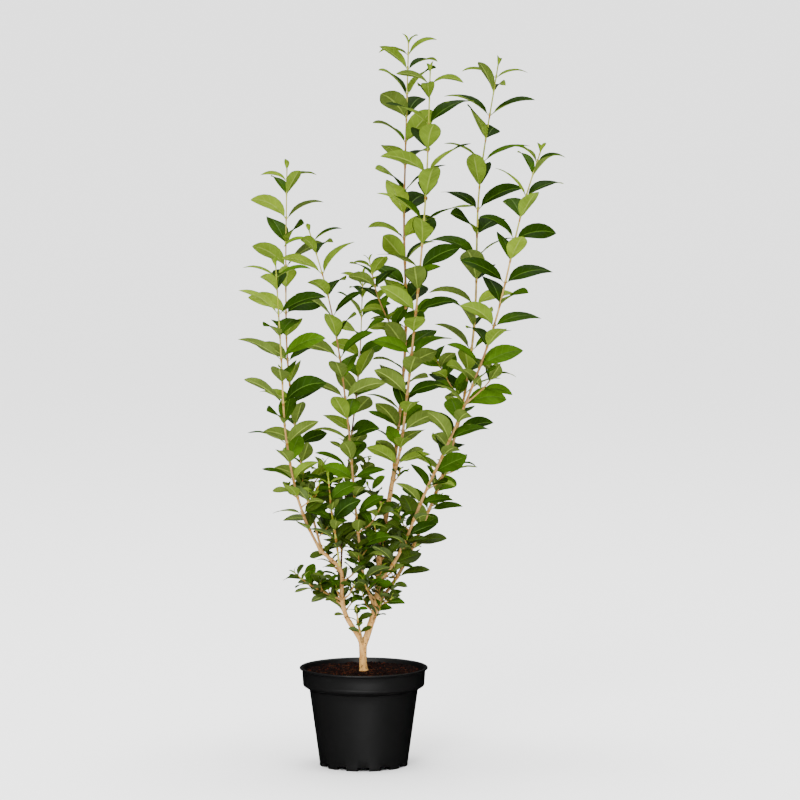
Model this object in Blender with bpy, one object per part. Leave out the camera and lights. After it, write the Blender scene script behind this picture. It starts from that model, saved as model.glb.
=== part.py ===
"""A potted privet: a young shrub of upright leafy shoots in a round nursery pot.

Metres, +Z up. The origin is the centre of the pot's underside and -Y is the front. The pot
holds a plug of compost. A short trunk stands on the compost and forks into two boughs, and
every long shoot or spray of leaves that grows from them is one mass: a stem with its side
twigs, and pairs of leaves that cross each other at right angles, fused into one solid.
"""

import math
import random
from dataclasses import dataclass
from enum import Enum

import bmesh
import bpy
from mathutils import Matrix, Vector
from mathutils.bvhtree import BVHTree

MM = 0.001
UP = Vector((0.0, 0.0, 1.0))

# Driving dimensions of the pot, in millimetres
POT_HEIGHT = 132.0
LIP_RADIUS = 86.1
LIP_DEPTH = 3.4
LIP_ROUND = 1.3
COLLAR_RADIUS = 83.0
COLLAR_TAPER = 1.4
COLLAR_DROP = 23.0
SHOULDER_DEPTH = 6.4
BODY_TOP_RADIUS = 73.0
BODY_FOOT_RADIUS = 59.5
WALL = 2.3
FLOOR_THICKNESS = 2.6
FOOT_HEIGHT = 5.0
FOOT_RING_WIDTH = 7.5
FOOT_COUNT = 12
CENTRE_PAD_RADIUS = 30.0
PAD_TAPER = 1.5
POT_SEGMENTS = 48
POT_SHARP_ANGLE = 30.0

# Driving dimensions of the compost
SOIL_LEVEL = 127.0
SOIL_CLEARANCE = 0.45
SOIL_ROUGHNESS = 1.0
SOIL_SEGMENTS = 24
SOIL_RINGS = (0.92, 0.74, 0.54, 0.34)
SOIL_RIM_DROP = 2.4
SOIL_BED_DROP = 0.6
STEM_PAD_RADIUS = 11.0

# Driving dimensions of the wood
GAP = 0.3
TRUNK_RADIUS = 5.0
FLARE_RADIUS = 6.9
FORK_HEIGHT = 170.0
FORK_HALF_WIDTH = 9.4
FORK_HALF_DEPTH = 5.4
TRUNK_LEAN = 1.0
TRUNK_SIDES = 14
WOOD_SHARP_ANGLE = 35.0
LIMB_STEP = 14.0
STEM_STEP = 34.0
TWIG_STEP = 18.0
LIMB_SIDES = 8
STEM_SIDES = 4
TWIG_SIDES = 3

# Driving dimensions of the leaves
LEAF_WIDTH_SHARE = 0.43
LEAF_THICKNESS_SHARE = 0.022
LEAF_STATIONS = ((0.32, 0.92), (0.66, 0.88))
SMALL_LEAF = 32.0
SMALL_LEAF_STATIONS = ((0.47, 1.0),)
BLADE_FOOT_SHARE = 0.14
PETIOLE_HALF_WIDTH = 0.45
PETIOLE_DEPTH = 0.55
ROOT_DEPTH_SHARE = 0.6
LEAF_CLEARANCE = 0.6
TIP_GAPS = (0.46, 0.6)
TIP_LEAVES = (0.3, 0.72, 0.92)
TIP_RISES = (70.0, 40.0, 45.0)
LEAF_RISE = (37.0, 51.0)
LEAF_ARCH = (26.0, 50.0)
FRONT_LIFT = 6.0
FRONT_STIFFNESS = 0.2
LOW_INTERNODE_SHARE = 0.6
TURN_PER_NODE = 90.0
BELOW_TIP = 1.5

# How far each drawn value of a leaf may vary, in degrees or as shares of its length and arch
TURN_SPREAD = 14.0
RISE_SPREAD = 9.0
ROLL_SPREAD = 44.0
LENGTH_SPREAD = (0.9, 1.07)
ARCH_SPREAD = (0.75, 1.25)
GAP_SPREAD = (0.94, 1.06)

# A leaf's tries until it touches nothing: further turn and rise in degrees, and share of its length
SECOND_TRIES = (
    (0.0, 0.0, 1.0),
    (20.0, 8.0, 1.0),
    (-20.0, -8.0, 1.0),
    (38.0, 4.0, 0.85),
    (-38.0, 10.0, 0.85),
)

# Side twigs and branches within a mass
TWIG_ZONE = (0.12, 0.54)
TWIG_LENGTH = (34.0, 58.0)
TWIG_RADIUS = (1.0, 0.65)
TWIG_BARE = 9.0
TWIG_TURN_SPREAD = 25.0
TWIG_LEAF_SHARE = 0.62
TWIG_LEAF_GROWTH = 1.3
TWIG_INTERNODE_SHARE = 0.5
TWIG_BEND = ((0.42, 0.28), (0.7, 0.72))
BRANCH_BARE = 12.0
BRANCH_INTERNODE_SHARE = 0.55
BRANCH_LEAF_SHARES = (0.8, 0.66)
WOOD_CLEARANCE = 1.0


class Start(Enum):
    """Where on its carrier a stem begins."""

    TIP = "tip"
    SIDE = "side"


@dataclass(frozen=True)
class Limb:
    """One tapering limb of bare wood, along a few hand-set points in millimetres."""

    name: str
    path: tuple
    radius: tuple


@dataclass(frozen=True)
class Branch:
    """A stem that leaves a mass's own main stem."""

    path: tuple
    radius: tuple
    turn: float = 0.0


@dataclass(frozen=True)
class Mass:
    """One mass of foliage: a main stem, how closely its leaf pairs stand, and their lengths in mm."""

    name: str
    carrier: str
    start: Start
    path: tuple
    radius: tuple
    internode: float
    leaf: tuple
    turn: float = 0.0
    bare: float = 14.0
    twigs: int = 0
    branches: tuple = ()


LIMBS = (
    Limb("bough_left",
         ((-5.5, 0, 170.3), (-14, -1, 184), (-24, -3, 202), (-29, -6, 226), (-32, -11, 266),
          (-41, -14, 276), (-57, -20, 290)),
         (3.6, 2.2)),
    Limb("bough_right",
         ((3.4, 0, 170.3), (8, 2, 185), (14, 3, 203), (18, 4, 220), (19.5, 8, 253), (22, 11, 290),
          (31, 14, 338), (39, 16, 383)),
         (4.7, 3.0)),
)

MASSES = (
    Mass("leader", "bough_right", Start.TIP,
         ((39, 16, 383), (45, 20, 439), (56, 28, 570), (54, 31, 741), (56, 32, 824), (60, 34, 966)),
         (2.4, 0.9), 39.5, (48, 66), -38.0, 20.0, 0,
         (Branch(((54, 28, 560), (30, 8, 602), (18, -4, 632), (8, -15, 677)), (1.1, 0.7), 40.0),)),
    Mass("leader_front", "bough_right", Start.SIDE,
         ((38, 16, 376), (49, -4, 425), (56, -22, 480), (65, -40, 564), (83, -58, 776), (88, -64, 924)),
         (2.0, 0.9), 39.0, (46, 64), 5.0, 20.0, 0),
    Mass("right_back", "bough_right", Start.SIDE,
         ((16, 4, 212), (42, 20, 246), (79, 50, 317), (130, 88, 460), (147, 104, 559), (158, 118, 784),
          (182, 122, 938)),
         (2.5, 0.9), 40.0, (38, 65), -22.0, 28.0, 1,
         (Branch(((133, 92, 478), (116, 76, 507), (101, 64, 534), (94, 59, 546)), (1.1, 0.7), 60.0),)),
    Mass("right_front", "bough_right", Start.SIDE,
         ((19, 8, 244), (36, -4, 266), (80, -38, 365), (135, -66, 491), (166, -78, 575), (215, -92, 770),
          (231, -94, 820)),
         (2.3, 0.9), 35.0, (38, 62), 24.0, 28.0, 1,
         (Branch(((137, -67, 492), (158, -64, 510), (171, -60, 526), (176, -58, 534)), (1.1, 0.7), 20.0),)),
    Mass("left_outer", "bough_left", Start.TIP,
         ((-57, -20, 290), (-76, -32, 330), (-99, -60, 428), (-107, -86, 560), (-113, -97, 672)),
         (2.0, 0.8), 36.0, (36, 62), -12.0, 20.0, 1),
    Mass("left_inner", "bough_left", Start.SIDE,
         ((-55, -19, 288), (-68, 0, 333), (-92, 30, 452), (-103, 44, 545), (-105, 50, 640), (-103, 45, 798)),
         (1.7, 0.8), 38.5, (38, 58), 20.0, 24.0, 1),
    Mass("left_short", "bough_left", Start.SIDE,
         ((-31, -10, 259), (-36, -24, 302), (-42, -40, 345), (-46, -57, 392)),
         (1.6, 0.8), 19.0, (34, 44), 10.0, 12.0, 0),
    Mass("left_back", "bough_left", Start.SIDE,
         ((-31, -9, 250), (-27, 22, 332), (-19, 60, 419), (-7, 92, 530), (-2, 112, 652)),
         (1.5, 0.7), 33.0, (38, 50), 30.0, 18.0, 1),
    Mass("centre", "bough_right", Start.SIDE,
         ((15, 3, 209), (2, -3, 246), (-7, -14, 313), (-21, -28, 468), (-33, -32, 561), (-49, -34, 641),
          (-71, -37, 716)),
         (1.9, 0.8), 35.0, (38, 56), -20.0, 30.0, 2),
    Mass("twig_left_low", "bough_left", Start.SIDE,
         ((-28.5, -5, 222), (-50, -16, 233), (-74, -33, 248), (-92, -41, 264)),
         (1.3, 0.7), 16.0, (19, 30), 70.0, 12.0, 0),
    Mass("twig_left_inner", "bough_left", Start.SIDE,
         ((-28.5, -5, 222), (-19, -14, 231), (-12, -22, 246)),
         (1.2, 0.7), 14.0, (18, 24), 20.0, 9.0, 0),
    Mass("tuft_middle", "trunk", Start.SIDE,
         ((-0.5, -1, 160), (-3, -10, 172), (-7, -15, 192), (-10, -18, 215)),
         (1.7, 0.8), 10.5, (15, 20), 0.0, 12.0, 0),
    Mass("tuft_right_low", "bough_right", Start.SIDE,
         ((15, 3, 208), (27, -6, 217), (38, -14, 226)),
         (1.3, 0.7), 15.0, (20, 30), 80.0, 8.0, 0),
)

# Short leafy sprays up the two boughs: the bough, how many, first azimuth and length in mm
SPRAYS = (("bough_right", 6, 200.0, 42.0), ("bough_left", 4, 110.0, 34.0))
GOLDEN_TURN = 137.5
SPRAY_TURNS = (0.0, 35.0, -35.0, 70.0, -70.0, 120.0, 180.0)
SPRAY_ZONE = (0.24, 0.94)
SPRAY_BEND = ((0.45, 0.3), (0.78, 0.78))
SPRAY_RADIUS = (1.2, 0.7)
SPRAY_INTERNODE = 20.0
SPRAY_LEAF = (25.0, 36.0)
SPRAY_BARE = 12.0
SPRAY_SHORTENING = 0.16
SPRAY_CLEARANCE = 1.5


# Materials


def material(name, colour, roughness):
    """A Principled material with one colour and roughness."""
    made = bpy.data.materials.new(name)
    made.use_nodes = True
    shader = made.node_tree.nodes["Principled BSDF"]
    shader.inputs["Base Color"].default_value = (*colour, 1.0)
    shader.inputs["Roughness"].default_value = roughness
    made.diffuse_color = (*colour, 1.0)
    return made


# Meshes


def new_object(name, points, faces, finish, smooth=False):
    """An object from points in metres and faces, in the scene's collection."""
    mesh = bpy.data.meshes.new(name)
    mesh.from_pydata([tuple(point) for point in points], [], faces)
    made = bpy.data.objects.new(name, mesh)
    mesh.materials.append(finish)
    if smooth:
        mesh.shade_smooth()
        mesh.set_sharp_from_angle(angle=math.radians(WOOD_SHARP_ANGLE))
    bpy.context.scene.collection.objects.link(made)
    return made


def loft(rings):
    """Points and outward faces of a closed skin over rings of equal count, with flat end caps."""
    count = len(rings[0])
    points = [point for ring in rings for point in ring]
    faces = [tuple(reversed(range(count)))]
    for start in range(0, len(points) - count, count):
        for i in range(count):
            j = (i + 1) % count
            faces.append((start + i, start + j, start + count + j, start + count + i))
    faces.append(tuple(range(len(points) - count, len(points))))
    return points, faces


def joined(parts):
    """Several separate skins as one list of points and one of faces."""
    points = []
    faces = []
    for part_points, part_faces in parts:
        offset = len(points)
        points.extend(part_points)
        faces.extend(tuple(index + offset for index in face) for face in part_faces)
    return points, faces


# Stems


def smooth_path(path, step):
    """Points about a step apart, in metres, on a smooth curve through hand-set points in mm."""
    knots = [Vector(point) * MM for point in path]
    knots = [knots[0] * 2 - knots[1], *knots, knots[-1] * 2 - knots[-2]]
    found = []
    for before, start, end, after in zip(knots, knots[1:], knots[2:], knots[3:]):
        span = (end - start).length
        leaving = slope(before, start, end) * span
        arriving = slope(start, end, after) * span
        count = max(1, round(span / (step * MM)))
        for i in range(count):
            t = i / count
            found.append(start * (2 * t**3 - 3 * t**2 + 1) + leaving * (t**3 - 2 * t**2 + t)
                         + end * (3 * t**2 - 2 * t**3) + arriving * (t**3 - t**2))
    found.append(knots[-2])
    return found


def slope(before, here, after):
    """The direction of a smooth curve at a point, weighted towards its nearer neighbour."""
    back = here - before
    ahead = after - here
    return (back * (ahead.length / back.length) + ahead * (back.length / ahead.length)) / (
        back.length + ahead.length)


def headings(path):
    """The unit tangent at each point of a path."""
    ends = [path[0], *path, path[-1]]
    return [(after - before).normalized() for before, after in zip(ends, ends[2:])]


class Stem:
    """A tapering stem: its centre line, its radii, and where on it anything stands."""

    def __init__(self, path, radius, step, sides):
        self.path = smooth_path(path, step)
        self.foot_radius, self.tip_radius = radius[0] * MM, radius[1] * MM
        self.sides = sides
        self.measure()

    def measure(self):
        """Work out tangents and distances again after the path changes."""
        self.tangents = headings(self.path)
        self.distances = [0.0]
        for before, after in zip(self.path, self.path[1:]):
            self.distances.append(self.distances[-1] + (after - before).length)
        self.length = self.distances[-1]

    def at(self, distance):
        """The point, tangent and radius at a distance from the foot."""
        distance = min(max(distance, 0.0), self.length)
        for i in range(len(self.path) - 1):
            if distance <= self.distances[i + 1]:
                break
        share = (distance - self.distances[i]) / (self.distances[i + 1] - self.distances[i])
        point = self.path[i].lerp(self.path[i + 1], share)
        tangent = self.tangents[i].lerp(self.tangents[i + 1], share).normalized()
        taper = distance / self.length
        return point, tangent, self.foot_radius + (self.tip_radius - self.foot_radius) * taper

    def clearance(self, point):
        """How far a point is outside the stem's skin."""
        best = math.inf
        for i in range(len(self.path) - 1):
            start = self.path[i]
            along = self.path[i + 1] - start
            share = min(max((point - start).dot(along) / along.length_squared, 0.0), 1.0)
            taper = (self.distances[i] + share * along.length) / self.length
            radius = self.foot_radius + (self.tip_radius - self.foot_radius) * taper
            best = min(best, (point - start - along * share).length - radius)
        return best

    def stand_on_tip(self, carrier):
        """Start a gap above the carrier's flat tip, square to it."""
        self.path[0] = carrier.path[-1] + carrier.tangents[-1] * GAP * MM
        self.measure()
        self.tangents[0] = carrier.tangents[-1]

    def cut_foot(self, distance):
        """Drop the path below a distance from the foot."""
        point = self.at(distance)[0]
        kept = [p for p, d in zip(self.path, self.distances) if d > distance + 2 * MM]
        self.path = [point, *kept]
        self.measure()

    def stand_clear(self, carrier):
        """Start where the foot's whole rim is a gap clear of the carrier."""
        distance = 0.0
        while distance < self.length / 2:
            point, tangent, radius = self.at(distance)
            rim = ring(point, tangent, radius, 8, side_axis(tangent))
            if min(carrier.clearance(p) for p in rim) >= GAP * MM:
                break
            distance += 0.1 * MM
        self.cut_foot(distance)

    def skin(self, swell=0.0):
        """The stem's closed skin, swollen for a test of clearance."""
        rings = []
        across = side_axis(self.tangents[0])
        for point, tangent, distance in zip(self.path, self.tangents, self.distances):
            across = (across - tangent * across.dot(tangent)).normalized()
            rings.append(ring(point, tangent, self.at(distance)[2] + swell, self.sides, across))
        return loft(rings)


def side_axis(tangent):
    """A fixed direction across a tangent."""
    guide = Vector((1.0, 0.0, 0.0)) if abs(tangent.x) < 0.8 else Vector((0.0, 1.0, 0.0))
    return (guide - tangent * guide.dot(tangent)).normalized()


def ring(centre, tangent, radius, sides, across):
    """Points round a centre, square to a tangent."""
    other = tangent.cross(across)
    turns = [2 * math.pi * i / sides for i in range(sides)]
    return [centre + (across * math.cos(turn) + other * math.sin(turn)) * radius for turn in turns]


# Leaves


@dataclass
class Leaf:
    """One leaf: its root, the way it heads, the stem's axis there, its size and its bend."""

    root: Vector
    heading: Vector
    axis: Vector
    length: float
    rise: float
    arch: float
    roll: float

    def frame(self, share):
        """The point, direction, side and normal at a share of the leaf's length."""
        angle = self.rise - self.arch * share
        out = (math.sin(self.rise) - math.sin(angle)) / self.arch
        lift = (math.cos(angle) - math.cos(self.rise)) / self.arch
        point = self.root + (self.heading * out + self.axis * lift) * self.length
        direction = self.heading * math.cos(angle) + self.axis * math.sin(angle)
        level = self.axis * math.cos(angle) - self.heading * math.sin(angle)
        normal = Matrix.Rotation(self.roll * share, 3, direction) @ level
        return point, direction, direction.cross(normal), normal

    def skin(self, swell=0.0, root=0.0):
        """The leaf's closed skin: a flat upper face over a keel, swollen for a test of clearance."""
        keel = self.length * LEAF_THICKNESS_SHARE
        sections = [(root, PETIOLE_HALF_WIDTH * MM, PETIOLE_DEPTH * MM)]
        half = self.length * LEAF_WIDTH_SHARE / 2
        stations = LEAF_STATIONS if self.length > SMALL_LEAF * MM else SMALL_LEAF_STATIONS
        sections += [(share, half * width, keel) for share, width in stations]
        rings = []
        for share, half_width, depth in sections:
            point, _, side, normal = self.frame(share)
            reach = side * (half_width + swell)
            rings.append([point + reach + normal * swell, point - normal * (depth + swell),
                          point - reach + normal * swell])
        points, faces = loft(rings)
        tip, direction, _, _ = self.frame(1.0)
        points.append(tip + direction * swell)
        last = len(points) - 4
        faces.pop()
        faces += [(last + i, last + (i + 1) % 3, len(points) - 1) for i in range(3)]
        return points, bulging(points, faces)


def bulging(points, faces):
    """The faces, each four-sided one split along the diagonal that stands out, as on a twisted leaf."""
    split = []
    for face in faces:
        if len(face) != 4:
            split.append(face)
            continue
        a, b, c, d = face
        outwards = (points[c] - points[a]).cross(points[d] - points[b])
        if (points[a] + points[c] - points[b] - points[d]).dot(outwards) > 0:
            split += [(a, b, c), (a, c, d)]
        else:
            split += [(a, b, d), (b, c, d)]
    return split


def blend(ends, share):
    """A value a share of the way between two ends."""
    return ends[0] + (ends[1] - ends[0]) * share


def tree_of(skins):
    """A search tree over the faces of some skins."""
    points, faces = joined(skins)
    return BVHTree.FromPolygons(points, faces)


def leaf_pair(stem, distance, turn, length, rise, arch, dice):
    """The drawn values of two opposite leaves at a distance along a stem."""
    point, tangent, radius = stem.at(distance)
    axis = (tangent * 0.6 + UP * 0.4).normalized()
    base = side_axis(axis)
    for half_turn in (0.0, 180.0):
        yield {
            "point": point,
            "axis": axis,
            "base": base,
            "turn": turn + half_turn + dice.uniform(-TURN_SPREAD, TURN_SPREAD),
            "length": length * dice.uniform(*LENGTH_SPREAD) * MM,
            "rise": rise + dice.uniform(-RISE_SPREAD, RISE_SPREAD),
            "arch": arch * dice.uniform(*ARCH_SPREAD),
            "roll": dice.uniform(-ROLL_SPREAD, ROLL_SPREAD),
            "sink": radius * (1.0 - ROOT_DEPTH_SHARE),
        }


def leaf_from(values, turn, rise, share):
    """A leaf from its drawn values, turned, lifted and shortened by a second try."""
    heading = Matrix.Rotation(math.radians(values["turn"] + turn), 3, values["axis"]) @ values["base"]
    front = max(0.0, -heading.y)
    return Leaf(
        root=values["point"] + heading * values["sink"],
        heading=heading,
        axis=values["axis"],
        length=values["length"] * share,
        rise=math.radians(values["rise"] + rise + FRONT_LIFT * front),
        arch=math.radians(values["arch"] * (1.0 - FRONT_STIFFNESS * front)),
        roll=math.radians(values["roll"]),
    )


def place_leaf(values, standing, own):
    """The first try of a leaf that touches nothing that stands already, or None."""
    for turn, rise, share in SECOND_TRIES:
        leaf = leaf_from(values, turn, rise, share)
        swollen = tree_of([leaf.skin(LEAF_CLEARANCE * MM)])
        blade = tree_of([leaf.skin(LEAF_CLEARANCE * MM, BLADE_FOOT_SHARE)])
        touching = any(swollen.overlap(tree) for tree in standing)
        if not touching and not any(blade.overlap(tree) for tree in own):
            return leaf
    return None


# Growth of a mass


class Growth:
    """One mass as it grows: its stems, the leaves on them and what they keep clear of."""

    def __init__(self, mass, carrier):
        self.mass = mass
        self.dice = random.Random(mass.name)
        main = Stem(mass.path, mass.radius, STEM_STEP, STEM_SIDES)
        if mass.start is Start.TIP:
            main.stand_on_tip(carrier)
        else:
            main.stand_clear(carrier)
        self.main = main
        self.stems = [(main, mass.internode, mass.leaf, mass.turn, mass.bare)]
        for branch in mass.branches:
            stem = Stem(branch.path, branch.radius, TWIG_STEP, TWIG_SIDES)
            leaf = tuple(length * share for length, share in zip(mass.leaf, BRANCH_LEAF_SHARES))
            internode = mass.internode * BRANCH_INTERNODE_SHARE
            self.stems.append((stem, internode, leaf, branch.turn, BRANCH_BARE))
        self.leaves = []

    def add_twigs(self, standing):
        """Grow side twigs on the low wood by the seeded rule, where they touch nothing."""
        mass = self.mass
        for index in range(mass.twigs):
            share = blend(TWIG_ZONE, (index + self.dice.random() * 0.5) / mass.twigs)
            point, tangent, _ = self.main.at(self.main.length * share)
            turn = mass.turn + GOLDEN_TURN * index
            turn += self.dice.uniform(-TWIG_TURN_SPREAD, TWIG_TURN_SPREAD)
            heading = Matrix.Rotation(math.radians(turn), 3, tangent) @ side_axis(tangent)
            length = self.dice.uniform(*TWIG_LENGTH)
            path = bent_path(point / MM, heading, length, TWIG_BEND)
            twig = Stem(path, TWIG_RADIUS, TWIG_STEP, TWIG_SIDES)
            swollen = tree_of([twig.skin(WOOD_CLEARANCE * MM)])
            if any(swollen.overlap(tree) for tree in standing):
                continue
            small = mass.leaf[0] * TWIG_LEAF_SHARE
            leaf = (small, small * TWIG_LEAF_GROWTH)
            self.stems.append((twig, mass.internode * TWIG_INTERNODE_SHARE, leaf, turn, TWIG_BARE))

    def add_leaves(self, standing):
        """Set the leaf pairs of every stem, from the tip down, where they touch nothing."""
        own = []
        for stem, internode, lengths, turn, bare in self.stems:
            for values in self.pairs(stem, internode, lengths, turn, bare):
                leaf = place_leaf(values, standing, own)
                if leaf is not None:
                    self.leaves.append(leaf)
                    own.append(tree_of([leaf.skin(0.0, BLADE_FOOT_SHARE)]))

    def pairs(self, stem, internode, lengths, turn, bare):
        """The drawn values of each leaf of a stem."""
        below_tip = BELOW_TIP * MM
        index = 0
        while stem.length - below_tip > bare * MM:
            distance = stem.length - below_tip
            height = distance / stem.length
            full = blend(lengths, min(1.0, height * 1.6))
            share = TIP_LEAVES[index] if index < len(TIP_LEAVES) else 1.0
            rise = TIP_RISES[index] if index < len(TIP_RISES) else blend(LEAF_RISE, height)
            azimuth = turn + TURN_PER_NODE * (index - 1)
            arch = blend(LEAF_ARCH, height)
            yield from leaf_pair(stem, distance, azimuth, full * share, rise, arch, self.dice)
            gap = TIP_GAPS[index] if index < len(TIP_GAPS) else self.dice.uniform(*GAP_SPREAD)
            below_tip += gap * internode * MM * blend((LOW_INTERNODE_SHARE, 1.0), min(1.0, height * 1.5))
            index += 1

    def wood(self):
        """The skins of the side twigs and branches."""
        return [stem.skin() for stem, *_ in self.stems[1:]]

    def tree(self):
        """A search tree over the mass's stems and leaves."""
        return tree_of([stem.skin() for stem, *_ in self.stems] + [leaf.skin() for leaf in self.leaves])


def bent_path(foot, heading, length, bend):
    """Hand-set points in mm of a short stem that leaves a foot outwards and turns up."""
    path = [foot]
    for outwards, upwards in bend:
        path.append(foot + (heading * outwards + UP * upwards) * length)
    return tuple(tuple(point) for point in path)


def spray_mass(name, limb_name, point, turn, reach):
    """A short mass that leaves a bough at a point and rises outwards."""
    heading = Vector((math.cos(turn), math.sin(turn), 0.0))
    return Mass(name, limb_name, Start.SIDE, bent_path(point / MM, heading, reach, SPRAY_BEND),
                SPRAY_RADIUS, SPRAY_INTERNODE, SPRAY_LEAF, math.degrees(turn), SPRAY_BARE)


def add_sprays(growths, limbs):
    """Short masses up the boughs, a golden turn apart, each turned on until its stem stands clear."""
    for limb_name, count, first_turn, length in SPRAYS:
        limb = limbs[limb_name]
        for index in range(count):
            point = limb.at(limb.length * blend(SPRAY_ZONE, index / count))[0]
            reach = length * (1.0 - SPRAY_SHORTENING * (index % 2))
            for extra in SPRAY_TURNS:
                turn = math.radians(first_turn + GOLDEN_TURN * index + extra)
                mass = spray_mass(f"spray_{limb_name}_{index + 1}", limb_name, point, turn, reach)
                growth = Growth(mass, limb)
                swollen = tree_of([growth.main.skin(SPRAY_CLEARANCE * MM)])
                if not any(swollen.overlap(other.tree()) for other in growths):
                    growths.append(growth)
                    break


# Fusing


def fuse_mass(growth, wood_finish, leaf_finish):
    """One solid from a mass's stem, twigs and leaves, joined by a union on a collection."""
    body = new_object(growth.mass.name, *growth.main.skin(), wood_finish)
    body.data.materials.append(leaf_finish)
    tools = bpy.data.collections.new(f"{growth.mass.name}_joined")
    bpy.context.scene.collection.children.link(tools)
    helpers = [new_object("twigs", *skin, wood_finish) for skin in growth.wood()]
    leaves = new_object("leaves", *joined([leaf.skin() for leaf in growth.leaves]), wood_finish)
    leaves.data.materials.append(leaf_finish)
    for polygon in leaves.data.polygons:
        polygon.material_index = 1
    helpers.append(leaves)
    for helper in helpers:
        bpy.context.scene.collection.objects.unlink(helper)
        tools.objects.link(helper)
    union = body.modifiers.new("join", "BOOLEAN")
    union.operation = "UNION"
    union.operand_type = "COLLECTION"
    union.collection = tools
    union.solver = "MANIFOLD"
    bpy.context.view_layer.update()
    fused = bpy.data.meshes.new_from_object(body.evaluated_get(bpy.context.evaluated_depsgraph_get()))
    body.modifiers.remove(union)
    body.data = fused
    for helper in helpers:
        bpy.data.objects.remove(helper)
    bpy.data.collections.remove(tools)
    drop_scraps(fused)
    return body


def drop_scraps(mesh):
    """Drop every loose scrap of a union but the body with the most points."""
    work = bmesh.new()
    work.from_mesh(mesh)
    unseen = set(work.verts)
    bodies = []
    while unseen:
        reached = {unseen.pop()}
        waiting = list(reached)
        while waiting:
            vert = waiting.pop()
            for edge in vert.link_edges:
                other = edge.other_vert(vert)
                if other in unseen:
                    unseen.discard(other)
                    reached.add(other)
                    waiting.append(other)
        bodies.append(reached)
    bodies.sort(key=len, reverse=True)
    for scrap in bodies[1:]:
        bmesh.ops.delete(work, geom=list(scrap), context="VERTS")
    work.to_mesh(mesh)
    work.free()


# Pot and compost


def lathe(profile, segments, first_turn):
    """A closed turned mesh from a profile in mm that starts and ends on the axis."""
    work = bmesh.new()
    rings = []
    for radius, height in profile[1:-1]:
        circle = []
        for i in range(segments):
            turn = math.radians(first_turn) + 2 * math.pi * i / segments
            place = (radius * MM * math.cos(turn), radius * MM * math.sin(turn), height * MM)
            circle.append(work.verts.new(place))
        rings.append(circle)
    foot = work.verts.new((0.0, 0.0, profile[0][1] * MM))
    top = work.verts.new((0.0, 0.0, profile[-1][1] * MM))
    for i in range(segments):
        j = (i + 1) % segments
        work.faces.new((foot, rings[0][j], rings[0][i]))
        for lower, upper in zip(rings, rings[1:]):
            work.faces.new((lower[i], lower[j], upper[j], upper[i]))
        work.faces.new((rings[-1][i], rings[-1][j], top))
    return work, rings


def object_of(name, work, finish):
    """An object from a finished bmesh, shaded smooth between sharp edges."""
    mesh = bpy.data.meshes.new(name)
    work.to_mesh(mesh)
    work.free()
    mesh.materials.append(finish)
    mesh.shade_smooth()
    mesh.set_sharp_from_angle(angle=math.radians(POT_SHARP_ANGLE))
    made = bpy.data.objects.new(name, mesh)
    bpy.context.scene.collection.objects.link(made)
    return made


def inner_wall():
    """The pot's inner wall from floor to mouth, as radius and height in mm."""
    collar_foot = POT_HEIGHT - COLLAR_DROP
    return ((BODY_FOOT_RADIUS - WALL, FOOT_HEIGHT + FLOOR_THICKNESS),
            (BODY_TOP_RADIUS - WALL, collar_foot - SHOULDER_DEPTH + 1.4),
            (COLLAR_RADIUS - COLLAR_TAPER - WALL - 0.3, collar_foot - 1.0),
            (COLLAR_RADIUS - WALL, POT_HEIGHT - LIP_DEPTH + 0.2))


def build_pot(finish):
    """The thin-walled pot: tapered body, deep collar, rolled lip, and feet round a raised base."""
    collar_foot = POT_HEIGHT - COLLAR_DROP
    ring_inside = BODY_FOOT_RADIUS - FOOT_RING_WIDTH
    outside = (
        (0.0, 0.0),
        (CENTRE_PAD_RADIUS, 0.0),
        (CENTRE_PAD_RADIUS + PAD_TAPER, FOOT_HEIGHT),
        (ring_inside, FOOT_HEIGHT),
        (BODY_FOOT_RADIUS, FOOT_HEIGHT),
        (BODY_TOP_RADIUS, collar_foot - SHOULDER_DEPTH),
        (BODY_TOP_RADIUS + 2.8, collar_foot - SHOULDER_DEPTH + 1.1),
        (COLLAR_RADIUS - COLLAR_TAPER - 0.8, collar_foot - 2.8),
        (COLLAR_RADIUS - COLLAR_TAPER, collar_foot),
        (COLLAR_RADIUS, POT_HEIGHT - LIP_DEPTH),
        (LIP_RADIUS - LIP_ROUND / 2, POT_HEIGHT - LIP_DEPTH + 0.6),
        (LIP_RADIUS, POT_HEIGHT - LIP_ROUND),
        (LIP_RADIUS - LIP_ROUND, POT_HEIGHT),
        (COLLAR_RADIUS - 1.0, POT_HEIGHT),
    )
    inside = tuple(reversed(inner_wall())) + ((0.0, FOOT_HEIGHT + FLOOR_THICKNESS),)
    sector = 360.0 / FOOT_COUNT
    first_turn = -90.0 - sector / 4
    work, rings = lathe(outside + inside, POT_SEGMENTS, first_turn)
    raise_feet(work, rings[2], rings[3])
    return object_of("pot", work, finish)


def raise_feet(work, inner_ring, outer_ring):
    """Extrude every other sector of the base's outer ring down into a foot."""
    per_sector = POT_SEGMENTS // (2 * FOOT_COUNT)
    soles = []
    for i in range(POT_SEGMENTS):
        if i // per_sector % 2:
            j = (i + 1) % POT_SEGMENTS
            corners = {inner_ring[i], inner_ring[j], outer_ring[i], outer_ring[j]}
            soles += [face for face in inner_ring[i].link_faces if set(face.verts) == corners]
    pushed = bmesh.ops.extrude_face_region(work, geom=soles)["geom"]
    bmesh.ops.delete(work, geom=soles, context="FACES_ONLY")
    bottoms = [item for item in pushed if isinstance(item, bmesh.types.BMVert)]
    bmesh.ops.translate(work, verts=bottoms, vec=(0.0, 0.0, -FOOT_HEIGHT * MM))


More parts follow.
